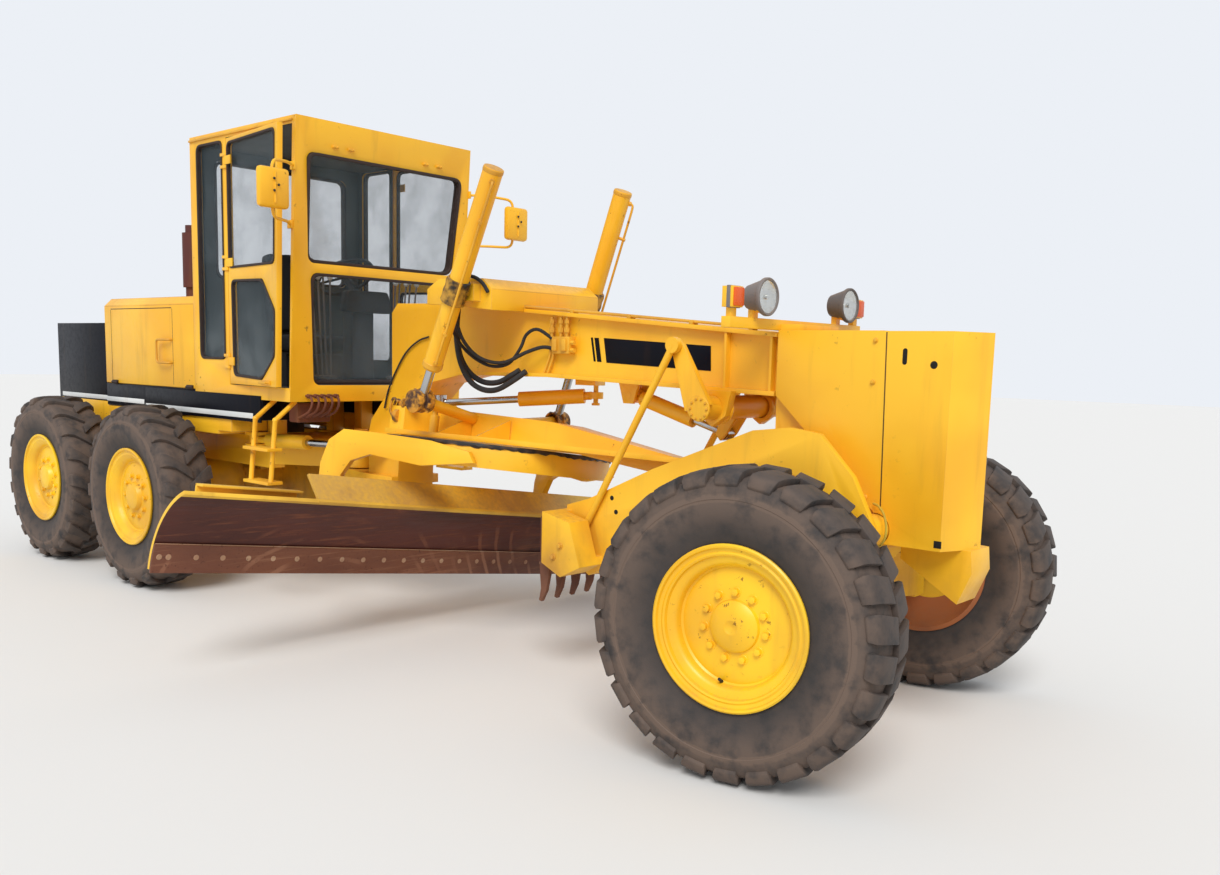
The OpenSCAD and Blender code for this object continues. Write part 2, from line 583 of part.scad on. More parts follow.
function nose_plan(i) = [[nose_seam - (i > 0 ? 5 : 0), nose_half - i], [4500 - i / 2, nose_half - i], [4590 - i, 0],
    [4500 - i / 2, -nose_half + i], [nose_seam - (i > 0 ? 5 : 0), -nose_half + i]];
module lamp_bar() {
    color(yellow) {
        box([3560, -600, nose_top + e], [3610, 600, nose_top + 50]);
        box([3605, -180, nose_top + e], [3720, 180, nose_top + 30]);
        pair() {
            box([3570, 540, nose_top + 49], [3600, 580, nose_top + 92]);
            box([3570, 362, nose_top + 49], [3600, 402, nose_top + 90]);
        }
    }
    color(black) pair() {
        translate([3560, 382, 2046]) rotate([0, 90, 0]) cylinder(d1 = 110, d2 = 165, h = 90, $fn = 40);
        box([3560, 520, 1991], [3620, 600, 2085]);
    }
}
// Front axle: arched beam on the centre pin, with a fork and a kingpin at each end
kingpin_d = 50;
king_z = [540, 580, 750, 790];
module front_axle() {
    color(yellow) {
        difference() {
            translate([front_axle_x + axle_half, 0, 0]) rotate([90, 0, -90]) linear_extrude(2 * axle_half)
                polygon([[-620, 560], [-620, 770], [-200, 835], [200, 835], [620, 770], [620, 560], [200, 600], [-200, 600]]);
            translate([front_axle_x - 200, 0, axle_pin_z]) rotate([0, 90, 0]) cylinder(d = 70 + 2 * e, h = 400, $fn = 32);
            pair() box([front_axle_x - axle_half - 1, 560, 500], [front_axle_x - 62, 621, king_z[1] + 56]);
        }
        pair() {
            for (i = [0, 2]) {
                translate([front_axle_x, kingpin_y, king_z[i]]) cylinder(r = 60, h = king_z[i + 1] - king_z[i], $fn = 40);
                box([front_axle_x - 60, 610, king_z[i]], [front_axle_x + 60, kingpin_y, king_z[i + 1]]);
            }
            translate([front_axle_x, kingpin_y, king_z[0] - 8]) cylinder(d = kingpin_d, h = king_z[3] - king_z[0] + 16, $fn = 32);
        }
    }
}
// Knuckle: kingpin barrel, spindle and a steering arm with an eye
arm_x = 240;
module knuckle(side) {
    translate([front_axle_x, side * kingpin_y, 0]) rotate([0, 0, steer_rest]) scale_y(side) color(yellow) difference() {
        union() {
            translate([0, 0, king_z[1] + 5]) cylinder(r = 60, h = king_z[2] - king_z[1] - 10, $fn = 40);
            cross_pin(0, wheel_z, 0, wheel_y - kingpin_y + 80, spindle_d);
            box([-arm_x, -25, king_z[1] + 6], [0, 25, king_z[1] + 46]);
            translate([-arm_x, 0, 522 - 30]) cylinder(d = 40, h = 134 - 20, $fn = 32);
        }
        translate([0, 0, 500]) cylinder(d = kingpin_d + 1, h = 400, $fn = 32);
    }
}
module knuckle_right() { knuckle(right); }
module knuckle_left() { knuckle(left); }
function steer_eye(side) = [front_axle_x - arm_x * cos(steer_rest), side * kingpin_y - arm_x * sin(steer_rest), 522];
module tie_rod() {
    color(steel) difference() {
        union() {
            rod(steer_eye(right), steer_eye(left), 45);
            for (side = [right, left]) translate(steer_eye(side) + [0, 0, -20]) cylinder(d = 90, h = 40, $fn = 32);
        }
        for (side = [right, left]) translate(steer_eye(side) + [0, 0, -30]) cylinder(d = 42, h = 60, $fn = 32);
    }
}

// Hydraulic cylinders: a barrel with its gland, and a rod with an eye at its far end
module barrel(a, b, len, back, d, rod_d) {
    aim(a, b) difference() {
        translate([0, 0, -back]) cylinder(d = d, h = len + back, $fn = 40);
        translate([0, 0, -back + 40]) cylinder(d = rod_d + 1, h = len + back, $fn = 40);
    }
}
module ram(a, b, start, d) {
    aim(a, b) translate([0, 0, start]) cylinder(d = d, h = norm(b - a) - start, $fn = 40);
}
// Articulation cylinders, one each side of the hitch
function side_pt(p, side) = [p[0], side * p[1], p[2]];
artic_len = 560;
module artic_barrel(side) {
    a = side_pt(artic_rear, side);
    b = side_pt(artic_front, side);
    color(yellow) difference() {
        union() {
            barrel(a, b, artic_len, -150, artic_d, 51);
            translate(a - [0, 0, 25]) cylinder(d = 90, h = 50, $fn = 32);
            aim(a, b) translate([0, 0, 30]) cylinder(d = 48, h = 130, $fn = 24);
        }
        translate(a - [0, 0, 40]) cylinder(d = 41, h = 80, $fn = 32);
    }
}
module artic_rod(side) {
    a = side_pt(artic_rear, side);
    b = side_pt(artic_front, side);
    color(steel) {
        ram(a, b, 350, 50);
        translate(b - [0, 0, 25]) cylinder(d = 90, h = 50, $fn = 32);
    }
}
module artic_barrel_right() { artic_barrel(right); }
module artic_barrel_left() { artic_barrel(left); }
module artic_rod_right() { artic_rod(right); }
module artic_rod_left() { artic_rod(left); }

// Everything that hangs from the drawbar's front ball is modelled level and rolled here
module rolled() { translate(ball) rotate([-drawbar_roll, 0, 0]) translate(-ball) children(); }
function roll_pt(p) = [p[0], ball[1] + (p[1] - ball[1]) * cos(drawbar_roll) + (p[2] - ball[2]) * sin(drawbar_roll),
    ball[2] - (p[1] - ball[1]) * sin(drawbar_roll) + (p[2] - ball[2]) * cos(drawbar_roll)];
plate_z = [1185, 1215];
lift_ball = [1350, 585, 1390];
module drawbar() {
    color(yellow) rolled() difference() {
        union() {
            linear_plan([[850, 450], [1750, 450], [2400, 300], [3450, 70], [3450, -70], [2400, -300], [1750, -450], [850, -450]], plate_z[0], plate_z[1]);
            drawbar_web();
            box([880, -440, plate_z[1] - 1], [1020, 440, 1360]);
            pair() {
                for (x = [1330, 1680]) translate([x, 0, 0]) rotate([90, 0, 90]) linear_extrude(14)
                    polygon([[160, plate_z[1]], [430, plate_z[1]], [165, plate_z[1] + 125]]);
                rod([lift_ball[0], 160, 1330], [lift_ball[0], lift_ball[1] - 20, lift_ball[2]], 70);
                translate(lift_ball) sphere(d = 80, $fn = 40);
            }
            translate(ball) sphere(d = 120, $fn = 40);
            translate([shift_ball[0], shift_ball[1], plate_z[1] - 1]) cylinder(d = 60, h = 110, $fn = 32);
            translate([shift_ball[0], shift_ball[1], plate_z[1] - 1]) cylinder(d = 40, h = 162, $fn = 32);
            translate(shift_ball) sphere(d = 70, $fn = 40);
        }
    }
}
shift_ball = [1180, -330, 1400];
// x, half width, bottom and top of the web's sections
web = [[905, 170, plate_z[1] - 1, 1385], [2005, 140, plate_z[1] - 1, 1350], [2175, 129, plate_z[0], 1324], [3555, 42, 1040, 1120]];
module drawbar_web() {
    for (i = [0:2]) hull() for (k = [i, i + 1]) box([web[k][0] - 5, -web[k][1], web[k][2]], [web[k][0] + 5, web[k][1], web[k][3]]);
}
// Circle: ring with internal teeth, and the two arms that reach back and down to the blade
ring_z = [1036, 1036 + circle_h];
arm_tip = [1890, 592];
arm_end = [890, 922];
arm_angle = atan2(arm_end[1] - arm_tip[1], arm_end[0] - arm_tip[0]);
module circle_arm() {
    translate([arm_tip[0], arm_tip[1], 0]) rotate([0, 0, arm_angle]) rotate([90, 0, 0])
        translate([0, 0, -20]) linear_extrude(40) polygon([[0, 1060], [40, 1120], [300, 1160], [700, 1172], [900, 1172],
            [1000, 1100], [1045, 960], [1050, 500], [880, 500], [890, 900], [830, 990], [700, 1040], [350, 1010]]);
}
rail_upper = 640;
rail_lower = 430;
rail_x = 1010;
module turn_circle() {
    color(yellow) rolled() {
        difference() {
            translate([circle_x, 0, ring_z[0]]) cylinder(r = circle_r, h = circle_h, $fn = 96);
            translate([circle_x, 0, ring_z[0] - 1]) cylinder(r = circle_r - circle_w, h = circle_h + 2, $fn = 96);
        }
        pair() difference() {
            circle_arm();
            translate([circle_x, 0, ring_z[0] - 40]) cylinder(r = circle_r - 30, h = circle_h + 80, $fn = 96);
            rail_slots();
        }
        pair() difference() {
            box([950, 860, 380], [1064, 960, 700]);
            rail_slots();
        }
    }
}
module rail_slots() {
    for (z = [rail_lower, rail_upper]) box([rail_x - run, 700, z - 30 - run], [1200, 1200, z + 30 + run]);
}
// Blade: curved moldboard with back rails and a guard, and the bolted cutting edge
blade_c = [1140 + blade_r, edge_z + 18];
module arc_section(r0, r1, a0, a1) {
    n = 16;
    polygon(concat([for (i = [0:n]) let(a = a0 + (a1 - a0) * i / n) [blade_c[0] + r0 * cos(a), blade_c[1] + r0 * sin(a)]],
        [for (i = [n:-1:0]) let(a = a0 + (a1 - a0) * i / n) [blade_c[0] + r1 * cos(a), blade_c[1] + r1 * sin(a)]]));
}
module along_blade(y0, y1) { translate([0, y1, 0]) rotate([90, 0, 0]) linear_extrude(y1 - y0) children(); }
blade_y = [-blade_l / 2 - blade_shift, blade_l / 2 - blade_shift];
module moldboard() {
    color([0.4, 0.22, 0.16]) rolled() {
        along_blade(blade_y[0], blade_y[1]) arc_section(blade_r, blade_r + blade_t, 180, 112);
        for (z = [rail_lower, rail_upper]) box([rail_x, blade_y[0] + 200, z - 30], [rail_x + 60, blade_y[1] - 200, z + 30]);
        for (y = [blade_y[0] + 205:416:blade_y[1] - 200]) difference() {
            box([1069, y, 390], [1200, y + 20, 690]);
            along_blade(y - 5, y + 30) arc_section(0, blade_r + blade_t - 1, 185, 90);
        }
        along_blade(blade_y[0] + 780, blade_y[1] - 60) polygon([[1412, 742], [1422, 758], [1290, 900], [1270, 890]]);
    }
}
module cutting_edge() {
    color([0.45, 0.4, 0.36]) rolled() along_blade(blade_y[0], blade_y[1])
        arc_section(blade_r - 16, blade_r - 2 * e, 182.3, 162);
}
// Blade lift cylinders hang in the saddle and hold the drawbar's balls
lift_top = 730;
lift_bottom = 490;
// The axis that a lift cylinder swings about as the drawbar rises, from its trunnion inwards
function lift_end(side) = roll_pt([lift_ball[0], side * lift_ball[1], lift_ball[2]]);
module along_axis(side) {
    a = side_pt(lift_trunnion, side);
    b = lift_end(side);
    swing = cross(b - a, cross([0, 1, 0], b - ball));
    aim(a, a - side * swing / norm(swing)) children();
}
module lift_barrel(side) {
    a = side_pt(lift_trunnion, side);
    b = lift_end(side);
    color(yellow) difference() {
        union() {
            barrel(a, b, lift_bottom, lift_top, lift_d, lift_rod_d);
            along_axis(side) cylinder(d = 50, h = 110, $fn = 32);
        }
        aim(a, b) translate([0, 0, -lift_top + 40]) cylinder(d = lift_rod_d + 1, h = 1300, $fn = 40);
    }
}
// Rod with a cup at its lower end, open inwards, that holds the drawbar's ball
module lift_rod(side) {
    a = side_pt(lift_trunnion, side);
    b = lift_end(side);
    color(steel) difference() {
        union() {
            aim(a, b) translate([0, 0, -300]) cylinder(d = lift_rod_d, h = norm(b - a) + 300 - 40, $fn = 40);
            cup(b, side, 136, -50, 68);
        }
        cup(b, side, 112, -60, 56);
    }
}
module cup(b, side, d, y0, y1) { translate(b) scale_y(side) cross_pin(0, 0, y0, y1, d); }
module lift_barrel_right() { lift_barrel(right); }
module lift_barrel_left() { lift_barrel(left); }
module lift_rod_right() { lift_rod(right); }
module lift_rod_left() { lift_rod(left); }
// Drawbar side-shift cylinder between the frame and a ball on the drawbar
module shift_barrel() {
    a = shift_eye;
    b = roll_pt(shift_ball);
    color(yellow) difference() {
        union() {
            barrel(a, b, 480, -70, 90, 45);
            translate(a - [0, 0, 20]) cylinder(d = 90, h = 40, $fn = 32);
            aim(a, b) cylinder(d = 50, h = 75, $fn = 24);
        }
        translate(a - [0, 0, 60]) cylinder(d = shift_pin_d + 26, h = 120, $fn = 32);
    }
}
module shift_rod() {
    a = shift_eye;
    b = roll_pt(shift_ball);
    color(steel) difference() {
        union() {
            aim(a, b) translate([0, 0, 150]) cylinder(d = 44, h = norm(b - a) - 190, $fn = 40);
            translate(b - [0, 0, 22]) cylinder(d = 128, h = 74, $fn = 40);
        }
        translate(b - [0, 0, 23]) cylinder(d = 106, h = 65, $fn = 40);
    }
}

// Scarifier: two arched arms, the tine block, its crank shaft, links and cylinder
scar_pivot = [4182, 1008];
scar_arm_y = [330, 366];
scar_pin = [2511, 755];
lever_end = [3125, 1820];
crank_x = 3268;
crank_z = 1514;
scar_rear = [2565, 1545];
lever_low = [3190, 1370];
module scarifier() {
    color(yellow) {
        pair() difference() {
            union() {
                plate_xz([[4120, 960], [4180, 930], [4240, 960], [4250, 1040], [4140, 1250], [3960, 1430], [3800, 1450], [3600, 1425], [3000, 1190],
                    [2560, 990], [2400, 940], [2420, 700], [2560, 620], [2700, 620], [2800, 820], [2960, 1000], [3300, 1130], [3560, 1230], [3760, 1250],
                    [3900, 1220], [4030, 1080]], scar_arm_y[0], scar_arm_y[1]);
                cross_pin(scar_pin[0], scar_pin[1], scar_arm_y[1] - 1, 413, 44);
            }
            cross_pin(scar_pivot[0], scar_pivot[1], 300, 400, 61);
        }
        plate_xz([[2400, 930], [2620, 900], [2700, 640], [2540, 560], [2400, 640]], -scar_arm_y[0] - e, scar_arm_y[0] + e);
        pair() difference() {
            plate_xz([[2400, 920], [2600, 880], [2680, 650], [2540, 580], [2400, 640]], scar_arm_y[1] - e, 560);
            box([2440, scar_arm_y[1] + e, 690], [2720, 412, 1000]);
        }
    }
}
module scarifier_tines() {
    color("saddlebrown") for (i = [0:tine_count - 1]) let(y = (i - (tine_count - 1) / 2) * tine_pitch)
        plate_xz([[2330, 880], [2400 - e, 880], [2400 - e, 560], [2380, 470], [2345, 405], [2325, 410], [2340, 480], [2330, 560]], y - 12, y + 12);
}
module scarifier_crank() {
    color(yellow) {
        cross_pin(crank_x, crank_z, -370, 370, shaft_d);
        pair() plate_xz([[crank_x - 75, crank_z - 20], [lever_end[0] - 35, lever_end[1]], [lever_end[0], lever_end[1] + 35],
            [lever_end[0] + 38, lever_end[1] + 5], [crank_x + 75, crank_z + 20]], 335, 367);
        pair() plate_xz([[crank_x - 50, crank_z], [lever_low[0] - 30, lever_low[1]], [lever_low[0], lever_low[1] - 35], [lever_low[0] + 35, lever_low[1]],
            [crank_x + 50, crank_z]], 34, 54);
    }
}
module scarifier_links() {
    color(yellow) pair() difference() {
        union() {
            rod([scar_pin[0], 388, scar_pin[1]], [lever_end[0], 388, lever_end[1]], 38);
            cross_pin(scar_pin[0], scar_pin[1], 372, 404, 84);
            cross_pin(lever_end[0], lever_end[1], 372, 404, 80);
        }
        cross_pin(scar_pin[0], scar_pin[1], 360, 420, 45);
    }
}
module scarifier_barrel() {
    a = [scar_rear[0], 0, scar_rear[1]];
    b = [lever_low[0], 0, lever_low[1]];
    color(yellow) difference() {
        union() {
            barrel(a, b, 430, -60, 84, 41);
            cross_pin(a[0], a[2], -30, 30, 84);
            aim(a, b) cylinder(d = 50, h = 70, $fn = 24);
        }
        cross_pin(a[0], a[2], -60, 60, 41);
    }
}
module scarifier_rod() {
    a = [scar_rear[0], 0, scar_rear[1]];
    b = [lever_low[0], 0, lever_low[1]];
    color(steel) {
        ram(a, b, 150, 40);
        cross_pin(b[0], b[2], -28, 28, 70);
    }
}

rear_frame();
tandem_cases();
engine_hood();
engine_block();
side_boxes();
side_band();
tail_housing();
exhaust();
steps();
cab_shell();
cab_glass();
seat();
console();
mirrors();
door_right();
door_right_glass();
door_left();
door_left_glass();
front_frame();
lift_saddle();
nose_box();
lamp_bar();
front_axle();
knuckle_right();
knuckle_left();
tie_rod();
tyre_front_right();
tyre_front_left();
tyre_mid_right();
tyre_mid_left();
tyre_rear_right();
tyre_rear_left();
rim_front_right();
rim_front_left();
rim_mid_right();
rim_mid_left();
rim_rear_right();
rim_rear_left();
artic_barrel_right();
artic_barrel_left();
artic_rod_right();
artic_rod_left();
drawbar();
turn_circle();
moldboard();
cutting_edge();
lift_barrel_right();
lift_barrel_left();
lift_rod_right();
lift_rod_left();
shift_barrel();
shift_rod();
scarifier();
scarifier_tines();
scarifier_crank();
scarifier_links();
scarifier_barrel();
scarifier_rod();
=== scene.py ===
# %% [markdown]
# # A motor grader with its blade rolled and its scarifier raised
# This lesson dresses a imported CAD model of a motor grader. The CAD solids give every size
# and place, so each new piece is built straight where it belongs, in metres: X forward,
# Y to the machine's left, Z up, with the origin on the ground below the articulation pin.

# %% Load the frame
import json
import math
import random

import bpy
from mathutils import Matrix, Vector
from mathutils.bvhtree import BVHTree


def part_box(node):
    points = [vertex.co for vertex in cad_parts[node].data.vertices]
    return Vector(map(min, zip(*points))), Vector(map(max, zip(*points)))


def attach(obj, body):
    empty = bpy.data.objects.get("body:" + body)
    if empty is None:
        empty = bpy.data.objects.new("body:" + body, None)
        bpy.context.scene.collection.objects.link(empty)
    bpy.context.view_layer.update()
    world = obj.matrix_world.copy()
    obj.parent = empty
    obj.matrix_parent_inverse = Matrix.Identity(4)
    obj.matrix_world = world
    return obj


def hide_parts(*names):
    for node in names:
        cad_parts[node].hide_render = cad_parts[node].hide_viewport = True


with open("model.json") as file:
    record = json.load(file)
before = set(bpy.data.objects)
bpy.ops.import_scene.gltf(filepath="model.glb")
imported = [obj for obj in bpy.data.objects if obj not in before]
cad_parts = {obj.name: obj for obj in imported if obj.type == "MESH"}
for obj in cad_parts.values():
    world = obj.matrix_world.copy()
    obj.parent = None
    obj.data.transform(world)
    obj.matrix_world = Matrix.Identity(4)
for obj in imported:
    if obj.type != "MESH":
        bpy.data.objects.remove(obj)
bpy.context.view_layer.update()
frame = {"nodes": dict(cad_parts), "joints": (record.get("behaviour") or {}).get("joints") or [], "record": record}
SIDES = (("right", -1), ("left", 1))
slot_of = {part["node"]: part["material_slot"] for part in frame["record"]["subparts"]}
body_of = {n: body for body, names in frame["record"]["behaviour"]["bodies"].items() for n in names}

# %% [markdown]
# The photograph was taken from the machine's right front corner, at the height of the eyes. The
# camera's place and lens were found by fitting known points, such as
# wheel centres and cab corners, to the picture, so the same numbers are used here. The vertical
# shift stands for the crop of the picture.

# %% Camera
camera_place = Vector((6.478, -4.675, 1.7455))
yaw, pitch, roll = 2.2888, -0.1311, 0.0256
ahead = Vector((math.cos(pitch) * math.cos(yaw), math.cos(pitch) * math.sin(yaw), math.sin(pitch)))
across = Vector((math.sin(yaw), -math.cos(yaw), 0))
upward = across.cross(ahead)
right_edge = across * math.cos(roll) + upward * math.sin(roll)
top_edge = upward * math.cos(roll) - across * math.sin(roll)
bpy.ops.object.camera_add()
camera = bpy.context.object
turned = Matrix((right_edge, top_edge, -ahead)).transposed().to_4x4()
camera.matrix_world = Matrix.Translation(camera_place) @ turned
camera.data.sensor_width = 36
camera.data.lens = 31.98
camera.data.shift_y = 0.0524
camera.data.clip_end = 300
bpy.context.scene.camera = camera
print("camera at", [round(v, 3) for v in camera_place], "lens", round(camera.data.lens, 2))

# %% [markdown]
# An operator acts on everything selected, so each helper here starts from an empty selection
# and picks just its own piece.

# %% Selection helpers
def clear():
    if bpy.context.object and bpy.context.object.mode != "OBJECT":
        bpy.ops.object.mode_set(mode="OBJECT")
    bpy.ops.object.select_all(action="DESELECT")


def pick(*pieces):
    clear()
    for piece in pieces:
        piece.select_set(True)
    bpy.context.view_layer.objects.active = pieces[0]


def bake(*pieces):
    """Fixes the place, turn and size of pieces in their meshes."""
    pick(*pieces)
    bpy.ops.object.transform_apply(location=True, rotation=True, scale=True)


def apply_all(piece):
    pick(piece)
    for modifier in list(piece.modifiers):
        bpy.ops.object.modifier_apply(modifier=modifier.name)

# %% [markdown]
# Meshes are shaped in edit mode, with everything selected before each step. A piece made of
# several shapes is joined, placed and named once, by the last helper here, and handed to the body
# that it rides.

# %% Shaping helpers
def remesh(piece, *steps):
    """Runs each step in edit mode, with the whole mesh selected before it."""
    pick(piece)
    bpy.ops.object.mode_set(mode="EDIT")
    for step in steps:
        bpy.ops.mesh.select_all(action="SELECT")
        step()
    bpy.ops.object.mode_set(mode="OBJECT")


def outward():
    bpy.ops.mesh.normals_make_consistent(inside=False)


def bevelled(piece, width, segments=2, limit=30):
    soft = piece.modifiers.new("soft", "BEVEL")
    soft.width = width
    soft.segments = segments
    soft.limit_method = "ANGLE"
    soft.angle_limit = math.radians(limit)
    apply_all(piece)
    return piece


def join(name, pieces):
    pick(*pieces)
    if len(pieces) > 1:
        bpy.ops.object.join()
    piece = bpy.context.object
    piece.name = name
    return piece


def fit(pieces, name, body, slot, *finishes, angle=30):
    """Joins pieces into one, fixes its place in its mesh, and hands it to its body."""
    piece = join(name, pieces if isinstance(pieces, list) else [pieces])
    bake(piece)
    apply_all(piece)
    piece.name = piece.data.name = name
    if finishes:
        piece.data.materials.clear()
        for finish in finishes:
            piece.data.materials.append(finish)
    pick(piece)
    bpy.ops.object.shade_smooth_by_angle(angle=math.radians(angle))
    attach(piece, body)
    return piece

# %% [markdown]
# Finishes are made of nodes. A recipe holds one material, and its small steps each add a node,
# so that a finish below reads as a list of what the eye sees: the colour, then what has settled
# on it. Colours are given as on a screen, 0 to 255.

# %% Node helpers
def rgb(red, green, blue):
    """A screen colour as the linear numbers that a shader wants."""
    linear = (c / 255 / 12.92 if c <= 10 else ((c / 255 + 0.055) / 1.055) ** 2.4 for c in (red, green, blue))
    return tuple(linear) + (1.0,)


class Recipe:
    def __init__(self, name):
        self.made = bpy.data.materials.new(name)
        self.made.use_nodes = True
        self.tree = self.made.node_tree
        self.coords = self.node("TexCoord")
        self.place = self.coords.outputs["Object"]

    def link(self, target, inputs):
        for key, value in inputs.items():
            if isinstance(value, bpy.types.NodeSocket):
                self.tree.links.new(value, target.inputs[key])
            else:
                target.inputs[key].default_value = value

    def node(self, kind, inputs=None, **settings):
        made = self.tree.nodes.new("ShaderNode" + kind)
        for key, value in settings.items():
            setattr(made, key, value)
        self.link(made, inputs or {})
        return made

    def mix(self, share, first, second):
        first, second = (rgb(*c) if isinstance(c, tuple) else c for c in (first, second))
        return self.node("Mix", {0: share, 6: first, 7: second}, data_type="RGBA").outputs[2]

    def plus(self, first, second, operation="ADD"):
        return self.node("Math", {0: first, 1: second}, operation=operation, use_clamp=True).outputs[0]

    def times(self, first, second):
        return self.plus(first, second, "MULTIPLY")

    def band(self, value, low, high, top=1.0, bottom=0.0):
        """From bottom to top, smoothly, as the value goes from low to high."""
        ends = {"Value": value, "From Min": low, "From Max": high, "To Min": bottom, "To Max": top}
        return self.node("MapRange", ends, interpolation_type="SMOOTHSTEP").outputs[0]

    def cloud(self, scale, detail=4.0, stretch=None, rough=0.55):
        place = self.place
        if stretch:
            place = self.node("Mapping", {"Vector": place, "Scale": stretch}).outputs[0]
        inputs = {"Vector": place, "Scale": scale, "Detail": detail, "Roughness": rough}
        return self.node("TexNoise", inputs).outputs["Fac"]

    def height(self, vector=None):
        return self.node("SeparateXYZ", {0: vector or self.place}).outputs["Z"]

    def done(self, colour, rough, relief=None, bump=0.3, depth=0.002, **others):
        """Joins the steps to the shader. Other sockets are named with _ for a space."""
        inputs = {"Base Color": colour, "Roughness": rough}
        if relief:
            reach = {"Height": relief, "Strength": bump, "Distance": depth}
            inputs["Normal"] = self.node("Bump", reach).outputs[0]
        inputs.update({key.replace("_", " "): value for key, value in others.items()})
        self.link(self.tree.nodes["Principled BSDF"], inputs)
        return self.made

# %% [markdown]
# **Grader yellow.** The machine has been repainted by spray gun, so the coat is even but a
# little mottled. Dirt runs down its sides, dust lies on what faces up, red clay is splashed
# over the lowest parts, and rust comes through in small spots. Each of these is one layer.

# %% Paint recipe
dust_tone, clay_tone, rust_tone = (150, 118, 88), (134, 90, 66), (104, 54, 30)


def paint(name, colour, second, rough=0.40, rust=0.60, clay=0.75, dust=0.35, grime=0.5, bump=0.25,
          metallic=0.0, patch=1.3, gloss=0.5):
    r = Recipe(name)
    grain = r.cloud(34.0, 6)
    coat = r.mix(r.band(r.cloud(patch, 3), 0.40, 0.62), colour, second)
    runs = r.cloud(9.0, 5, (1.0, 1.0, 0.12))
    coat = r.mix(r.band(runs, 0.55, 0.78, 0.45 * grime), coat, (140, 92, 30))
    up = r.height(r.coords.outputs["Normal"])
    coat = r.mix(r.times(r.band(up, 0.55, 0.95, dust), r.band(grain, 0.15, 0.80)), coat, dust_tone)
    low = r.times(r.band(r.height(), 1.15, 0.25, clay), r.band(r.cloud(2.6, 5), 0.36, 0.66))
    spots = r.band(r.cloud(21.0, 8, rough=0.68), 0.615, 0.66)
    spots = r.times(spots, r.band(r.cloud(1.7, 2), 0.50, 0.66, rust))
    coat = r.mix(spots, r.mix(low, coat, clay_tone), rust_tone)
    dull = r.plus(r.plus(spots, low), r.band(grain, 0.3, 0.7, 0.25))
    relief = r.plus(r.times(r.cloud(160.0, 3), 0.35), r.times(spots, 0.5))
    return r.done(coat, r.band(dull, 0.0, 1.0, 0.85, rough), relief, bump, Metallic=metallic,
                  Specular_IOR_Level=gloss)

# %% Paints
yellow = paint("grader_yellow", (252, 192, 38), (244, 178, 30))
worn_yellow = paint("yellow_at_edges", (236, 176, 44), (212, 152, 42), rough=0.5, rust=0.9, grime=0.8,
                    dust=0.5)
rim_yellow = paint("rim_yellow", (252, 202, 30), (242, 184, 24), rough=0.36, rust=0.75, clay=0.25)
rim_orange = paint("rim_inside", (168, 96, 46), (120, 66, 36), rough=0.7, rust=1.0, clay=0.4)
blade_yellow = paint("blade_back_yellow", (244, 194, 58), (206, 158, 52), rough=0.55, rust=0.8, clay=0.25,
                     dust=0.6, grime=0.9)
grease = paint("old_grease", (26, 20, 18), (64, 46, 30), rough=0.45, rust=0.5, dust=0.5, grime=0.3,
               bump=0.9, patch=14.0)
greasy_yellow = paint("grease_on_yellow", (34, 26, 20), (196, 146, 46), rough=0.5, rust=0.8, dust=0.5,
                      grime=0.8, bump=0.8, patch=11.0)
cab_lining = paint("cab_lining", (74, 78, 78), (56, 60, 60), rough=0.75, rust=0.1, clay=0.0, dust=0.3,
                   grime=0.3)
clamp_rust = paint("greasy_clamp", (216, 152, 44), (66, 40, 26), rough=0.6, rust=1.0, dust=0.6, grime=1.0,
                   bump=0.8, patch=16.0)
# Painted shade with grime: a dark brown for the line of a seam, where shade falls in the joint and dirt collects.
seam_shade_and_grime = paint("painted_seam_shade_and_grime", (84, 56, 22), (64, 44, 22), rough=0.8, rust=0.6, dust=0.2)
# Painted shade: near-black for thin plates laid over holes and slots, standing in for the shade inside them.
hole_shade = paint("painted_hole_shade", (14, 12, 10), (20, 16, 14), rough=0.9, rust=0.0, clay=0.0, dust=0.0, grime=0.0)
signal_orange = paint("signal_orange", (226, 92, 22), (206, 78, 20), rough=0.25, rust=0.0, clay=0.0,
                      dust=0.3, grime=0.2)
lamp_grey = paint("lamp_housing", (120, 112, 108), (92, 84, 80), rough=0.6, rust=0.8, clay=0.0, dust=0.7)
black = paint("band_black", (8, 9, 16), (12, 13, 22), rough=0.34, rust=0.2, grime=0.1, dust=0.10, gloss=0.10)
white = paint("stripe_white", (226, 226, 222), (206, 208, 206), rough=0.45, rust=0.3, grime=0.4)
dark_metal = paint("greasy_iron", (46, 42, 40), (66, 56, 46), rough=0.55, rust=0.9, dust=0.6)
bright_rod = paint("chromed_rod", (196, 196, 194), (176, 176, 176), rough=0.16, rust=0.5, clay=0.4,
                   dust=0.1, grime=0.3, bump=0.05, metallic=1.0)
rusty = paint("bare_rust", (110, 60, 38), (84, 44, 30), rough=0.75, rust=1.0, grime=0.8, bump=0.6)
exhaust_red = paint("scorched_pipe", (86, 36, 30), (62, 34, 30), rough=0.7, rust=1.0, bump=0.5)
print("materials so far", len(bpy.data.materials))

# %% [markdown]
# **Blade steel.** Earth sliding along the blade has worn it to bare metal, and it has rusted
# since. The scratches run along the blade, so the pattern is stretched far along Y.

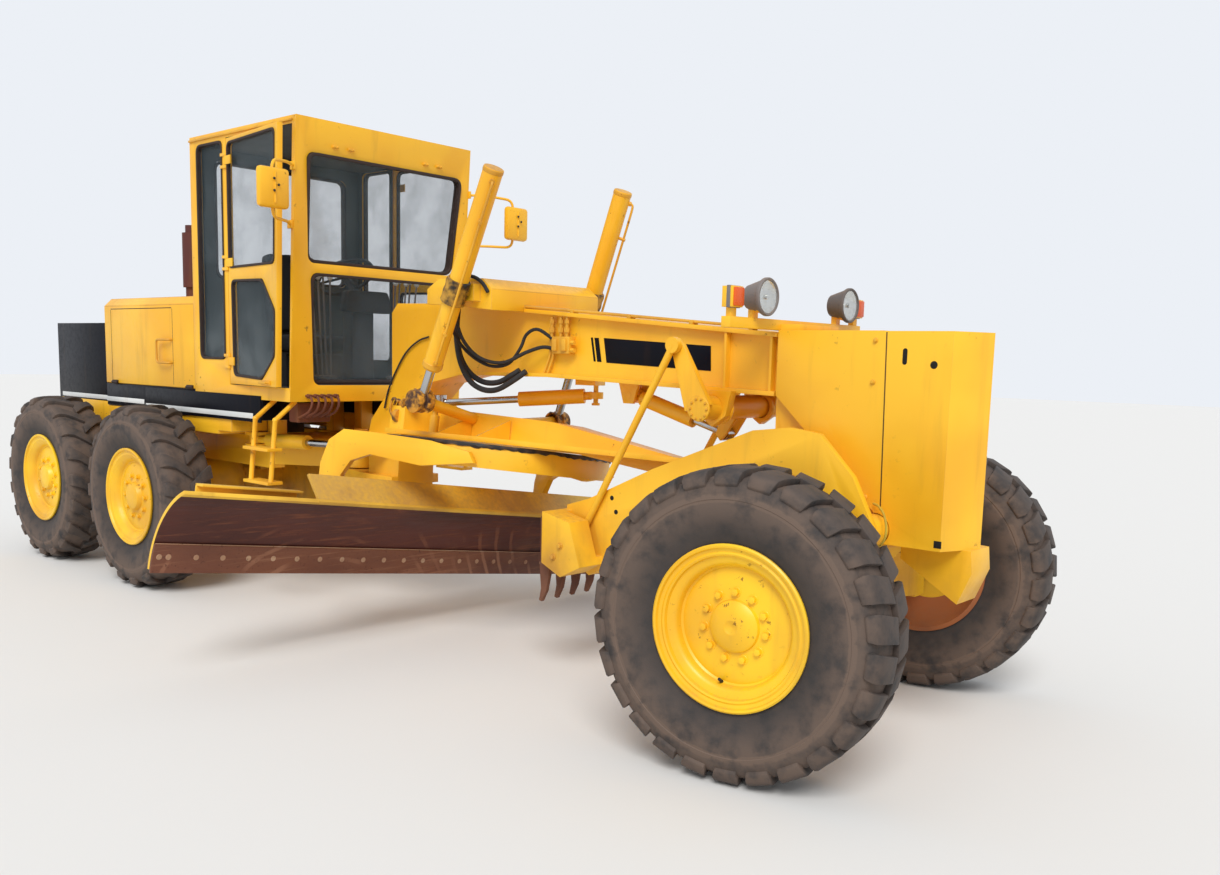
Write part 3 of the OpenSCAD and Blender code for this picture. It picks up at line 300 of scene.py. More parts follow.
# %% Blade finish
def blade_finish(name, colour, second, bright):
    r = Recipe(name)
    tone = r.mix(r.band(r.cloud(2.2, 6, (1, 0.35, 1)), 0.32, 0.68), colour, second)
    marks = r.cloud(26.0, 8, (1, 0.05, 1.6), rough=0.7)
    tone = r.mix(r.band(marks, 0.52, 0.70, 0.7), tone, bright)
    centred = r.node("Mapping", {"Vector": r.place, "Location": (0.0, 1.15, 0.10)}).outputs[0]
    rings = {"Vector": centred, "Scale": 2.6, "Distortion": 1.6, "Detail": 3.0, "Detail Scale": 1.5}
    arcs = r.node("TexWave", rings, wave_type="RINGS", rings_direction="X").outputs["Fac"]
    swept = r.times(r.band(arcs, 0.84, 0.98, 0.75), r.band(r.cloud(1.9, 3), 0.46, 0.62))
    pits = r.cloud(60.0, 6)
    tone = r.mix(r.band(pits, 0.60, 0.72, 0.7), r.mix(swept, tone, bright), (62, 30, 22))
    low = r.times(r.band(r.height(), 0.65, 0.20, 0.7), r.band(r.cloud(5.0, 4), 0.4, 0.7))
    return r.done(r.mix(low, tone, clay_tone), r.band(marks, 0.3, 0.8, 0.72, 0.38), pits, 0.35, Metallic=0.25)


blade_brown = blade_finish("blade_rust", (92, 42, 30), (62, 28, 22), (134, 80, 54))
# Pale worn steel for the edge's rubbed bolt heads, and a painted highlight along its lip.
rubbed_and_highlight = blade_finish("edge_rubbed_and_highlight", (186, 150, 118), (160, 118, 90), (206, 178, 150))
edge_brown = blade_finish("edge_worn", (126, 76, 52), (98, 56, 40), (160, 112, 84))
print("nodes in the blade's finish", len(blade_brown.node_tree.nodes))

# %% [markdown]
# **Rubber.** A tyre is black in its grooves' walls and grey-brown where clay has dried on it.
# A painted-in measure called "dust" is stored on each tyre's points, 0 on fresh rubber and 1 in
# the grooves, so the clay stays with the tread when the wheel turns.

# %% Rubber, hose and glass
def rubber(name, clean, dirty):
    r = Recipe(name)
    settled = r.node("Attribute", attribute_name="dust").outputs["Fac"]
    tone = r.mix(r.band(r.cloud(4.0, 5), 0.3, 0.7, 0.5), clean, (60, 56, 54))
    dried = r.times(settled, r.band(r.cloud(11.0, 6), 0.22, 0.62, 0.8))
    return r.done(r.mix(dried, tone, dirty), 0.78, r.cloud(90.0, 5))


def plain(name, colour, second, rough, metallic=0.0, scale=40.0):
    r = Recipe(name)
    tone = r.mix(r.band(r.cloud(scale, 4), 0.3, 0.7, 0.6), colour, second)
    return r.done(tone, rough, r.cloud(scale * 3, 3), 0.2, 0.001, Metallic=metallic)


def glazing(name, colour, alpha, haze):
    r = Recipe(name)
    low = r.times(r.band(r.height(), 2.15, 1.45, haze * 1.8), r.band(r.cloud(5.0, 4), 0.2, 0.7))
    film = r.plus(r.band(r.cloud(3.0, 5), 0.40, 0.75, haze), low)
    return r.done(r.mix(film, colour, (150, 146, 136)), 0.04, Alpha=r.plus(film, alpha), IOR=1.5)


tyre_rubber = rubber("tyre_rubber", (40, 39, 40), (104, 86, 74))
hose_rubber = rubber("hose_rubber", (24, 24, 26), (60, 52, 46))
hose_sprayed = rubber("hose_sprayed", (206, 176, 52), (120, 96, 40))
seal_rubber = plain("window_seal", (52, 34, 26), (34, 26, 24), 0.7)
seat_cloth = plain("seat_cloth", (34, 34, 36), (22, 22, 24), 0.9, scale=220)
cab_plastic = plain("cab_plastic", (44, 44, 46), (34, 34, 36), 0.55)
lamp_silver = plain("lamp_reflector", (214, 214, 210), (190, 190, 186), 0.12, metallic=1.0)
cab_window = glazing("cab_window", (84, 102, 110), 0.13, 0.13)
lamp_lens = glazing("lamp_lens", (220, 226, 228), 0.10, 0.04)
print("finishes in all", len(bpy.data.materials))

# %% [markdown]
# **Plates with softened edges.** A pressed or flame-cut plate never has a razor edge, and light
# catches the rounding. The CAD solids stay as they are: each is copied, its triangles are merged
# into faces, and a narrow bevel goes round the sharp edges. The bevel's own faces take the
# second finish, so paint looks rubbed where hands, boots and stones touch it.

# %% Soften the CAD solids
def soften(name, width, finish, worn):
    piece = bpy.data.objects.new(name + "_skin", frame["nodes"][name].data.copy())
    bpy.context.scene.collection.objects.link(piece)
    piece.data.materials.clear()
    piece.data.materials.append(finish)
    piece.data.materials.append(worn)
    remesh(piece, lambda: bpy.ops.mesh.remove_doubles(threshold=0.00002),
           lambda: bpy.ops.mesh.dissolve_limited(angle_limit=math.radians(0.6)))
    edges = piece.modifiers.new("edges", "BEVEL")
    edges.width = width
    edges.segments = 2
    edges.limit_method = "ANGLE"
    edges.angle_limit = math.radians(40)
    edges.material = 1
    edges.use_clamp_overlap = True
    fit(piece, piece.name, body_of[name], slot_of[name])
    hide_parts(name)
    return piece

# %% Plates and plain solids
yellow_plates = (
    "rear_frame engine_hood side_boxes cab_shell door_right door_left front_frame lift_saddle nose_box "
    "front_axle drawbar turn_circle scarifier scarifier_crank tandem_cases steps mirrors")
edge_width = {"engine_hood": 0.010, "side_boxes": 0.006, "front_frame": 0.003, "lift_saddle": 0.005,
              "front_axle": 0.006, "scarifier": 0.005, "tandem_cases": 0.008, "steps": 0.002,
              "mirrors": 0.003}
for name in yellow_plates.split():
    soften(name, edge_width.get(name, 0.004), yellow, worn_yellow)
for name in ("side_band", "tail_housing"):
    soften(name, 0.008, black, black)
blade = soften("moldboard", 0.002, blade_brown, blade_yellow)
soften("cutting_edge", 0.002, edge_brown, edge_brown)
soften("scarifier_tines", 0.003, rusty, rusty)
plain_solids = (
    (yellow, "knuckle_right knuckle_left tie_rod artic_barrel_right artic_barrel_left lift_barrel_right"),
    (yellow, "lift_barrel_left shift_barrel scarifier_links scarifier_barrel"),
    (bright_rod, "artic_rod_right artic_rod_left shift_rod scarifier_rod"),
    (cab_window, "cab_glass door_right_glass door_left_glass"),
    (dark_metal, "engine_block"), (exhaust_red, "exhaust"), (seat_cloth, "seat"), (cab_plastic, "console"))
for finish, names in plain_solids:
    for name in names.split():
        frame["nodes"][name].data.materials.clear()
        frame["nodes"][name].data.materials.append(finish)

# %% [markdown]
# **Faces that differ on one solid.** Only the hollow front of the blade is bare steel: its back,
# its ends and its guard were sprayed. The cab's inner walls are dark, and the cups at the feet of
# the cylinders are painted and greasy while their rods shine. A face's place tells which it is.
# The blade hangs from a drawbar that is rolled about its front ball, so its faces are turned
# back by that angle first.

# %% Bare front of the blade
ball = Vector((3.6, 0, 1.08))
rolled = Matrix.Translation(ball) @ Matrix.Rotation(math.radians(-7.7), 4, "X") @ Matrix.Translation(-ball)
unrolled = rolled.inverted()
blade_centre = Vector((1.586, 0, 0.338))
blade_radius = 0.446
blade_top = 0.742


def on_blade_front(face):
    spot = unrolled @ face.center
    out = spot - blade_centre
    out.y = 0
    hollow = (unrolled.to_3x3() @ face.normal).dot(out.normalized()) < -0.8
    return hollow and abs(out.length - blade_radius) < 0.012 and spot.z < blade_top


for face in blade.data.polygons:
    face.material_index = 0 if on_blade_front(face) else 1
print("blade front faces", sum(1 for face in blade.data.polygons if face.material_index == 0))

# %% Lining of the cab and painted feet of the rods
def refinish(piece, finish, chosen):
    """Gives the faces that the test chooses another finish."""
    piece.data.materials.append(finish)
    last = len(piece.data.materials) - 1
    for face in piece.data.polygons:
        if chosen(face):
            face.material_index = last


cab = bpy.data.objects["cab_shell_skin"]
middle = Vector((-0.35, 0, 2.3))


def inside_cab(face):
    x, y, z = face.center
    within = abs(y) < 0.69 and -0.97 < x < 0.27 and 1.46 < z < 3.17
    return within and face.normal.dot(middle - face.center) > 0


refinish(cab, cab_lining, inside_cab)
for side, sign in SIDES:
    rod_skin = soften("lift_rod_" + side, 0.002, bright_rod, worn_yellow)
    low_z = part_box("lift_rod_" + side)[0].z
    refinish(rod_skin, worn_yellow, lambda face: face.center.z < low_z + 0.16)
print("lined faces of the cab", sum(1 for face in cab.data.polygons if face.material_index == 2))

# %% [markdown]
# **Turned shapes.** Wheels, lamps and caps are turned on a lathe or pressed round, so each is a
# ring of profile points spun about its axle.

# %% Lathe helper
def lathe(profile, centre, axle, steps=72):
    """profile: (radius, distance along the axle) pairs that go once round the cut section."""
    clear()
    bpy.ops.mesh.primitive_circle_add(vertices=len(profile), radius=1, fill_type="NOTHING",
                                      location=(0, 0, 0))
    piece = bpy.context.object
    axle = Vector(axle).normalized()
    out = axle.orthogonal().normalized()
    for point, (radius, along) in zip(piece.data.vertices, profile):
        point.co = out * radius + axle * along
    remesh(piece, lambda: bpy.ops.mesh.spin(steps=steps, angle=math.tau, center=(0, 0, 0), axis=axle),
           lambda: bpy.ops.mesh.remove_doubles(threshold=0.00005), outward)
    piece.data.transform(Matrix.Translation(centre))
    return piece

# %% [markdown]
# **Tyres.** The front pair carries worn rock lugs with narrow slanted grooves; the four driven
# wheels have tall chevrons whose point leads. A lug is a small grid laid along the tyre's
# section, from the middle of the tread over the shoulder, pushed inwards to give it body, and
# bevelled. It is modelled once and copied round.

# %% Section of a tyre and its lugs
tyre_radius = 0.665
section = [(0.325, -0.135), (0.362, -0.146), (0.385, -0.150), (0.430, -0.172), (0.480, -0.183),
           (0.520, -0.185), (0.532, -0.1835), (0.536, -0.186), (0.560, -0.183), (0.600, -0.170),
           (0.622, -0.145), (0.631, -0.10), (0.634, -0.05)]
section += [(0.635, 0.0)] + [(r, -a) for r, a in reversed(section)]
section += [(0.330, 0.10), (0.330, -0.10)]

# (distance along the axle, radius, half width round the tread, offset round the tread)
lug_paths = {
    "rock": [(0.004, 0.663, 0.055, 0.0), (0.060, 0.6625, 0.056, 0.012), (0.120, 0.659, 0.058, 0.026),
             (0.155, 0.651, 0.060, 0.034), (0.176, 0.632, 0.061, 0.038), (0.184, 0.598, 0.055, 0.040)],
    "chevron": [(-0.012, 0.664, 0.038, -0.052), (0.050, 0.6635, 0.038, 0.0), (0.100, 0.661, 0.040, 0.040),
                (0.140, 0.655, 0.046, 0.062), (0.170, 0.638, 0.050, 0.072), (0.183, 0.600, 0.046, 0.076)]}
lug_count = {"rock": 26, "chevron": 19}
lug_depth = 0.046


def lug(path, hand):
    clear()
    bpy.ops.mesh.primitive_grid_add(x_subdivisions=len(path) - 1, y_subdivisions=1, size=1)
    piece = bpy.context.object
    points = sorted(piece.data.vertices, key=lambda v: (round(v.co.x, 4), v.co.y))
    for index, point in enumerate(points):
        along, radius, half, offset = path[index // 2]
        angle = (offset + (half if index % 2 else -half)) / tyre_radius
        point.co = Vector((radius * math.cos(angle), radius * math.sin(angle), hand * along))
    remesh(piece, outward, bpy.ops.mesh.extrude_region_move)
    for point in piece.data.vertices:
        if point.select:
            flat = Vector((point.co.x, point.co.y, 0)).normalized()
            inward = Vector((0, 0, -hand)) * (0.9 if abs(point.co.z) > 0.17 else 0.0)
            point.co += (-flat + inward).normalized() * lug_depth
    remesh(piece, outward)
    return bevelled(piece, 0.006, 2, 45)

# %% [markdown]
# A wheel is built lying on the ground plane, round +Z, and then turned onto its axle. Each copy
# of a lug or a nut gets a mesh of its own, with its place in it.

# %% Copies, and places on an axle or a surface
def copies(source, matrices):
    made = []
    for matrix in matrices:
        piece = bpy.data.objects.new(source.name, source.data.copy())
        bpy.context.scene.collection.objects.link(piece)
        piece.data.transform(matrix)
        made.append(piece)
    bpy.data.objects.remove(source)
    return made


def on_axle(centre, axle, turn):
    """Turns a wheel's piece made round +Z onto its axle."""
    return facing(axle, centre) @ Matrix.Rotation(turn, 4, "Z")


def facing(normal, place):
    """Turns a piece made along +Z so that it stands on a surface."""
    turn = Vector((0, 0, 1)).rotation_difference(Vector(normal)).to_matrix().to_4x4()
    return Matrix.Translation(Vector(place)) @ turn

# %% Make a tyre
def make_tyre(end, centre, axle, kind, turn):
    pieces = [lathe(section, (0, 0, 0), (0, 0, 1), 96)]
    count = lug_count[kind]
    for hand in (-1, 1):
        first = 0.5 if hand > 0 else 0.0
        turns = [Matrix.Rotation(math.tau * (i + first) / count, 4, "Z") for i in range(count)]
        pieces += copies(lug(lug_paths[kind], hand), turns)
    tyre = join("tyre", pieces)
    settled = tyre.data.attributes.new("dust", "FLOAT", "POINT")
    for index, point in enumerate(tyre.data.vertices):
        radius = math.hypot(point.co.x, point.co.y)
        on_top = 0.55 if radius > 0.645 else 1.0
        near_rim = max(0.0, min(1.0, (radius - 0.40) / 0.10))
        ring_mark = 2.2 if 0.531 < radius < 0.5375 and abs(point.co.z) > 0.18 else 1.0
        settled.data[index].value = on_top * (0.25 + 0.75 * near_rim) * ring_mark
    tyre.data.transform(on_axle(centre, axle, turn))
    fit(tyre, "tyre_" + end + "_tread", "wheel_" + end, "tyre", tyre_rubber, angle=35)
    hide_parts("tyre_" + end)


# %% [markdown]
# **Rims.** Each disc lies a few centimetres behind the flange, with rolled steps between them.
# The front one has a hub cap and eleven nuts, the rear ones a flat-topped hub and ten. A nut is
# a hexagon on a small washer.

# %% Section of a rim, and a wheel nut
rim_outer = [(0.352, -0.155), (0.352, -0.14), (0.329, -0.134), (0.329, 0.128), (0.344, 0.14), (0.352, 0.15),
             (0.352, 0.16), (0.345, 0.165), (0.336, 0.162)]
rim_inner = [(0.3, -0.06), (0.318, -0.13), (0.33, -0.16)]
rim_steps = {
    "rock": [(0.331, 0.15), (0.318, 0.146), (0.31, 0.15), (0.302, 0.146), (0.297, 0.132), (0.276, 0.126),
             (0.266, 0.12), (0.258, 0.108), (0.254, 0.086), (0.246, 0.079), (0.236, 0.082), (0.18, 0.088),
             (0.122, 0.088), (0.113, 0.09), (0.108, 0.104), (0.098, 0.112), (0.052, 0.128), (0.03, 0.13),
             (0.018, 0.124), (0.0005, 0.12), (0.0005, 0.04), (0.2, 0.04), (0.24, 0.01)],
    "chevron": [(0.33, 0.15), (0.318, 0.145), (0.306, 0.146), (0.298, 0.141), (0.28, 0.13), (0.264, 0.116),
                (0.256, 0.096), (0.248, 0.09), (0.236, 0.094), (0.19, 0.1), (0.118, 0.101), (0.106, 0.104),
                (0.099, 0.122), (0.09, 0.134), (0.07, 0.139), (0.03, 0.14), (0.0005, 0.14), (0.0005, 0.04),
                (0.22, 0.04), (0.27, 0.0)]}
nut_rings = {"rock": (0.143, 0.086, 11), "chevron": (0.150, 0.1005, 10)}


def hexagon(radius, height, along):
    """A wheel nut standing on a washer, along +Z from the height called along."""
    clear()
    bpy.ops.mesh.primitive_cylinder_add(vertices=6, radius=radius, depth=height,
                                        location=(0, 0, along + height / 2 + 0.002))
    nut = bevelled(bpy.context.object, radius * 0.14)
    bpy.ops.mesh.primitive_cylinder_add(vertices=20, radius=radius * 1.35, depth=0.006,
                                        location=(0, 0, along + 0.002))
    piece = join("nut", [nut, bevelled(bpy.context.object, 0.0015, 1)])
    bake(piece)
    return piece

# %% Make a rim
def make_rim(end, centre, axle, kind, turn):
    ring, along, nuts = nut_rings[kind]
    turns = [Matrix.Rotation(math.tau * i / nuts, 4, "Z") @ Matrix.Translation((ring, 0, 0))
             for i in range(nuts)]
    disc = lathe(rim_outer + rim_steps[kind] + rim_inner, (0, 0, 0), (0, 0, 1), 80)
    rim = join("rim", [disc] + copies(hexagon(0.0165, 0.020, along), turns))
    rim.data.transform(on_axle(centre, axle, turn))
    fit(rim, "rim_" + end + "_disc", "wheel_" + end, "yellow_paint", rim_yellow, rim_orange)
    for face in rim.data.polygons:
        if (face.center - centre).dot(axle) < 0.03 and face.normal.dot(axle) < 0.6:
            face.material_index = 1
    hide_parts("rim_" + end)
    if kind == "rock":
        bpy.ops.mesh.primitive_cylinder_add(vertices=12, radius=0.007, depth=0.050,
                                            location=(0.244, 0, 0.098),
                                            rotation=(0, -0.5, 0))
        valve = bpy.context.object
        bake(valve)
        valve.data.transform(on_axle(centre, axle, -1.62))
        fit(valve, "rim_" + end + "_valve", "wheel_" + end, "plastic", hose_rubber)

# %% Fit the six wheels
for joint in frame["joints"]:
    if joint["name"].startswith("spin_"):
        end = joint["name"][5:]
        centre = Vector(joint["pos_m"])
        axle = Vector(joint["axis"]).normalized() * (-1 if "right" in end else 1)
        kind = "rock" if end.startswith("front") else "chevron"
        turn = 0.21 * len(end)
        make_tyre(end, centre, axle, kind, turn)
        make_rim(end, centre, axle, kind, turn)

# %% [markdown]
# **Small parts** come from a few shapes: a slab with broken edges, a plate cut to an outline, a
# pipe along a route, and a bolt on a washer. Each helper builds its shape in place, in metres.
# Where a piece sits on the CAD, a straight line is shot at the solid to find its surface.

# %% Surfaces and slabs
solid_trees = {}


def surface(name, start, toward):
    """Where a line from start first meets a CAD node, and the way that the surface faces."""
    if name not in solid_trees:
        mesh = frame["nodes"][name].data
        corners = [v.co for v in mesh.vertices]
        solid_trees[name] = BVHTree.FromPolygons(corners, [p.vertices for p in mesh.polygons])
    place, normal, _, _ = solid_trees[name].ray_cast(Vector(start), Vector(toward).normalized())
    return place, normal


def box(low, high):
    clear()
    low, high = Vector(low), Vector(high)
    bpy.ops.mesh.primitive_cube_add(size=1, location=(low + high) / 2, scale=high - low)
    piece = bpy.context.object
    bake(piece)
    return piece


def slab(corner, other, width=0.004):
    return bevelled(box(*zip(*(sorted(pair) for pair in zip(corner, other)))), width)

# %% [markdown]
# A plate starts as one flat face with the outline's corners. The face is pulled out to its
# thickness, its edges are broken, and the whole is turned into its plane.

# %% Plates
def sheet(outline, depth=0.0):
    """One flat face with the outline's X and Y."""
    clear()
    bpy.ops.mesh.primitive_circle_add(vertices=len(outline), radius=1, fill_type="NGON", location=(0, 0, 0))
    piece = bpy.context.object
    for point, spot in zip(piece.data.vertices, outline):
        point.co = (spot[0], spot[1], depth)
    return piece


def thicken(piece, thickness, *steps):
    shift = {"value": (0, 0, thickness)}
    remesh(piece, *steps, lambda: bpy.ops.mesh.extrude_region_move(TRANSFORM_OT_translate=shift), outward)


def plate(outline, thickness, place, width=0.0015):
    """A flat plate: the outline lies in the place's own X and Y, its thickness along its Z."""
    piece = sheet(outline)
    thicken(piece, thickness)
    bevelled(piece, width)
    piece.data.transform(place)
    return piece


def arc(middle, radius, step, count, first=0.0):
    """Points round a middle, for the outline of a round plate."""
    angles = [first + step * i for i in range(count)]
    return [(middle[0] + radius * math.cos(a), middle[1] + radius * math.sin(a)) for a in angles]


def side_plane(y, outward=-1):
    """Turns an outline's X and Y into the model's X and Z on the plane at y, facing outward."""
    return Matrix(((1, 0, 0, 0), (0, 0, outward, y), (0, 1, 0, 0), (0, 0, 0, 1)))

# %% [markdown]
# A pipe bends in short arcs between straight lengths, and a hose flows in one curve. Both are
# lines of points that a round section follows, closed at its ends.

# %% Routes, pipes and bolts
def round_corners(points, radius, steps=5):
    """A route or closed outline whose corners are eased into short curves."""
    eased = []
    for before, corner, after in zip(points[-1:] + points[:-1], points, points[1:] + points[:1]):
        back, on = Vector(before) - Vector(corner), Vector(after) - Vector(corner)
        start = Vector(corner) + back.normalized() * min(radius, back.length * 0.49)
        end = Vector(corner) + on.normalized() * min(radius, on.length * 0.49)
        for step in range(steps + 1):
            t = step / steps
            eased.append(start * (1 - t) ** 2 + Vector(corner) * 2 * t * (1 - t) + end * t ** 2)
    return eased


def route(points, radius=0.04):
    """An open pipe route with eased bends, from the first point to the last."""
    points = [Vector(p) for p in points]
    if len(points) == 2:
        return points
    eased = round_corners(points, radius)
    return [points[0]] + eased[6:-6] + [points[-1]]


def flowing(points, steps=6):
    """A smooth curve through the points, as a hose takes."""
    points = [Vector(p) for p in points]
    ends = [2 * points[0] - points[1]] + points + [2 * points[-1] - points[-2]]
    line = []
    for a, b, c, d in zip(ends, ends[1:], ends[2:], ends[3:]):
        for step in range(steps):
            t = step / steps
            bend, twist = 2 * a - 5 * b + 4 * c - d, 3 * b - a - 3 * c + d
            line.append(0.5 * (2 * b + (c - a) * t + bend * t * t + twist * t ** 3))
    return line + [points[-1]]


def pipe(points, radius, ring=3):
    clear()
    curve = bpy.data.curves.new("pipe", "CURVE")
    curve.dimensions = "3D"
    line = curve.splines.new("POLY")
    line.points.add(len(points) - 1)
    for point, place in zip(line.points, points):
        point.co = (*place, 1)
    curve.bevel_depth = radius
    curve.bevel_resolution = ring
    curve.use_fill_caps = True
    piece = bpy.data.objects.new("pipe", curve)
    bpy.context.scene.collection.objects.link(piece)
    pick(piece)
    bpy.ops.object.convert(target="MESH")
    return bpy.context.object


def bolts(name, body, spots, radius=0.011, finish=worn_yellow, slot="yellow_paint"):
    """spots: (place, normal) pairs. One hexagon is made and copied to each, then all are joined."""
    heads = copies(hexagon(radius, radius * 1.1, 0), [facing(normal, place) for place, normal in spots])
    fit(heads, name, body, slot, finish)


# %% [markdown]
# **Beam side.** The right side carries a long black plate, kept blank here, with two slanting
# bars ahead of it. The bars and the plate lean alike. They are thin, so each is a plate with its
# edges just broken, standing two millimetres off the web.

# %% Plate and bars on the beam
web_y = -0.150
web = side_plane(web_y)
beam_plate = plate([(2.450, 1.857), (3.181, 1.822), (3.187, 1.695), (2.474, 1.722)], 0.002, web, 0.0006)
fit(beam_plate, "beam_plate", "front", "black_paint", black)
bars = [plate(outline, 0.002, web, 0.0006) for outline in (
    [(2.353, 1.859), (2.368, 1.859), (2.394, 1.727), (2.379, 1.727)],
    [(2.380, 1.858), (2.412, 1.857), (2.437, 1.725), (2.405, 1.726)])]
fit(bars, "beam_bars", "front", "black_paint", black)
print("plate", round(beam_plate.dimensions.x, 3), "m long")

# %% [markdown]
# **Valve and pipes on the beam.** A small valve block is bolted to the web. Steel pipes run to it
# along the top flange, and stubs with nuts take the hoses. The block is a stack of slabs, so its
# caps and plugs show as steps, as on the real casting.

# %% Valve block
valve = [slab((2.100, -0.205, 1.765), (2.236, web_y, 1.862), 0.005)]
valve += [slab((x, -0.222, 1.780), (x + 0.038, web_y, 1.850), 0.006) for x in (2.112, 2.184)]
for x in (2.078, 2.148, 2.196):
    for low, high, radius, ring in ((1.860, 1.972, 0.010, 3), (1.885, 1.912, 0.017, 1),
                                    (1.935, 1.955, 0.015, 1)):
        valve.append(pipe([(x, -0.180, low), (x, -0.180, high)], radius, ring))
valve += [pipe([(2.236, -0.185, z), (2.262, -0.185, z)], 0.014, 1) for z in (1.785, 1.828)]
for bend in ([(2.060, -0.172, 1.900), (2.060, -0.172, 1.760), (2.010, -0.172, 1.650)],
             [(2.085, -0.172, 1.765), (2.080, -0.172, 1.740), (2.034, -0.172, 1.640)]):
    valve.append(pipe(route(bend, 0.03), 0.007))
print("pieces of the valve", len(valve))
fit(valve, "beam_valve", "front", "yellow_paint", worn_yellow)

# %% Pipes on the flange
flange_top, flange_end = (surface("front_frame", (x, -0.18, 2.6), (0, 0, -1))[0] for x in (1.75, 3.50))
beam_pipes = []
for start, y in ((0.0, -0.002), (0.04, 0.020)):
    line = [flange_top + Vector((start, y, 0.010)), flange_end + Vector((0.08, y, 0.010))]
    beam_pipes.append(pipe(line, 0.008))
for share in (0.06, 0.28, 0.52, 0.76, 0.97):
    spot = flange_top.lerp(flange_end, share)
    beam_pipes.append(slab(spot + Vector((-0.012, -0.016, -0.001)), spot + Vector((0.012, 0.034, 0.021)),
                           0.003))
fit(beam_pipes, "beam_pipes", "front", "yellow_paint", worn_yellow)
print("flange under the pipes", [round(v, 3) for v in (*flange_top, *flange_end)])

# %% [markdown]
# **Hoses.** Two hoses leave the valve, droop behind the lift cylinder and come up to its swivel.
# Another runs over the swivel, two hang beside the beam, and thin ones lie on the neck and nose.
# A hose hangs in one smooth curve, so a few points chosen along the real route are joined by a
# flowing line. Each is given with its own diameter.

# %% Hoses beside the beam
hoses = {
    "hose_a": (0.022, [(2.102, -0.172, 1.790), (2.030, -0.205, 1.800), (1.930, -0.240, 1.768),
                       (1.760, -0.265, 1.705), (1.630, -0.330, 1.730), (1.585, -0.420, 1.830),
                       (1.580, -0.475, 1.970), (1.582, -0.480, 2.080), (1.600, -0.466, 2.160)]),
    "hose_b": (0.020, [(2.102, -0.172, 1.835), (2.000, -0.215, 1.900), (1.915, -0.225, 1.870),
                       (1.870, -0.230, 1.790), (1.780, -0.240, 1.700), (1.660, -0.275, 1.685),
                       (1.565, -0.350, 1.750), (1.535, -0.440, 1.860), (1.535, -0.478, 1.980),
                       (1.540, -0.480, 2.080), (1.560, -0.466, 2.150)]),
    "hose_c": (0.022, [(1.455, -0.464, 2.060), (1.490, -0.470, 2.130), (1.600, -0.478, 2.182),
                       (1.720, -0.478, 2.190), (1.800, -0.472, 2.155), (1.845, -0.464, 2.100)]),
    "hose_d": (0.034, [(1.405, -0.304, 2.022), (1.390, -0.300, 1.900), (1.400, -0.285, 1.750),
                       (1.460, -0.265, 1.645), (1.570, -0.250, 1.588), (1.700, -0.245, 1.588),
                       (1.800, -0.232, 1.632), (1.850, -0.214, 1.664)]),
    "hose_e": (0.034, [(1.440, -0.350, 2.022), (1.430, -0.340, 1.880), (1.440, -0.320, 1.720),
                       (1.500, -0.300, 1.600), (1.600, -0.285, 1.545), (1.720, -0.275, 1.545),
                       (1.830, -0.250, 1.600), (1.905, -0.214, 1.658)]),
    "hose_f": (0.012, [(0.953, -0.162, 1.853), (0.852, -0.162, 1.827), (0.728, -0.162, 1.754),
                       (0.623, -0.162, 1.634), (0.536, -0.162, 1.498), (0.492, -0.162, 1.375)]),
    "hose_g": (0.011, [(4.180, -0.236, 1.126), (4.222, -0.262, 1.118), (4.262, -0.292, 1.090),
                       (4.288, -0.315, 1.045), (4.290, -0.322, 0.996), (4.266, -0.312, 0.958),
                       (4.232, -0.292, 0.945)])}
for name, (diameter, points) in hoses.items():
    line = flowing(points)
    hose = fit(pipe(line, diameter / 2), name, "front", "plastic",
               hose_sprayed if name == "hose_g" else hose_rubber, angle=60)

# %% [markdown]
# **Lift cylinders.** Each barrel ends in a screwed gland where the rod comes out, and in a welded
# cap at the top. A thin pipe feeds the lower end from above, held by two clamps. The swivel
# blocks are thick with old grease, and so are the ball clamps at the feet. Rings are turned on
# the lathe about the cylinder's own line, which the rod's joint gives.

# %% Glands, caps, feed pipes and grease
joint_of = {joint["name"]: joint for joint in frame["joints"]}
gland = [(0.030, -0.036), (0.058, -0.036), (0.0605, -0.033), (0.0605, -0.004), (0.055, 0.002),
         (0.050, 0.010), (0.031, 0.010), (0.030, 0.006)]
cap = [(0.0005, -0.004), (0.030, -0.004), (0.052, -0.002), (0.0575, 0.004), (0.0585, 0.020),
       (0.0565, 0.026), (0.0005, 0.026)]
collar_line = [(0.0575, -0.075), (0.066, -0.072), (0.070, -0.050), (0.0665, -0.020), (0.071, 0.010),
               (0.067, 0.045), (0.070, 0.066), (0.0575, 0.074)]


def lift_axis(side):
    return Vector(joint_of["lift_rod_" + side]["axis"]).normalized()


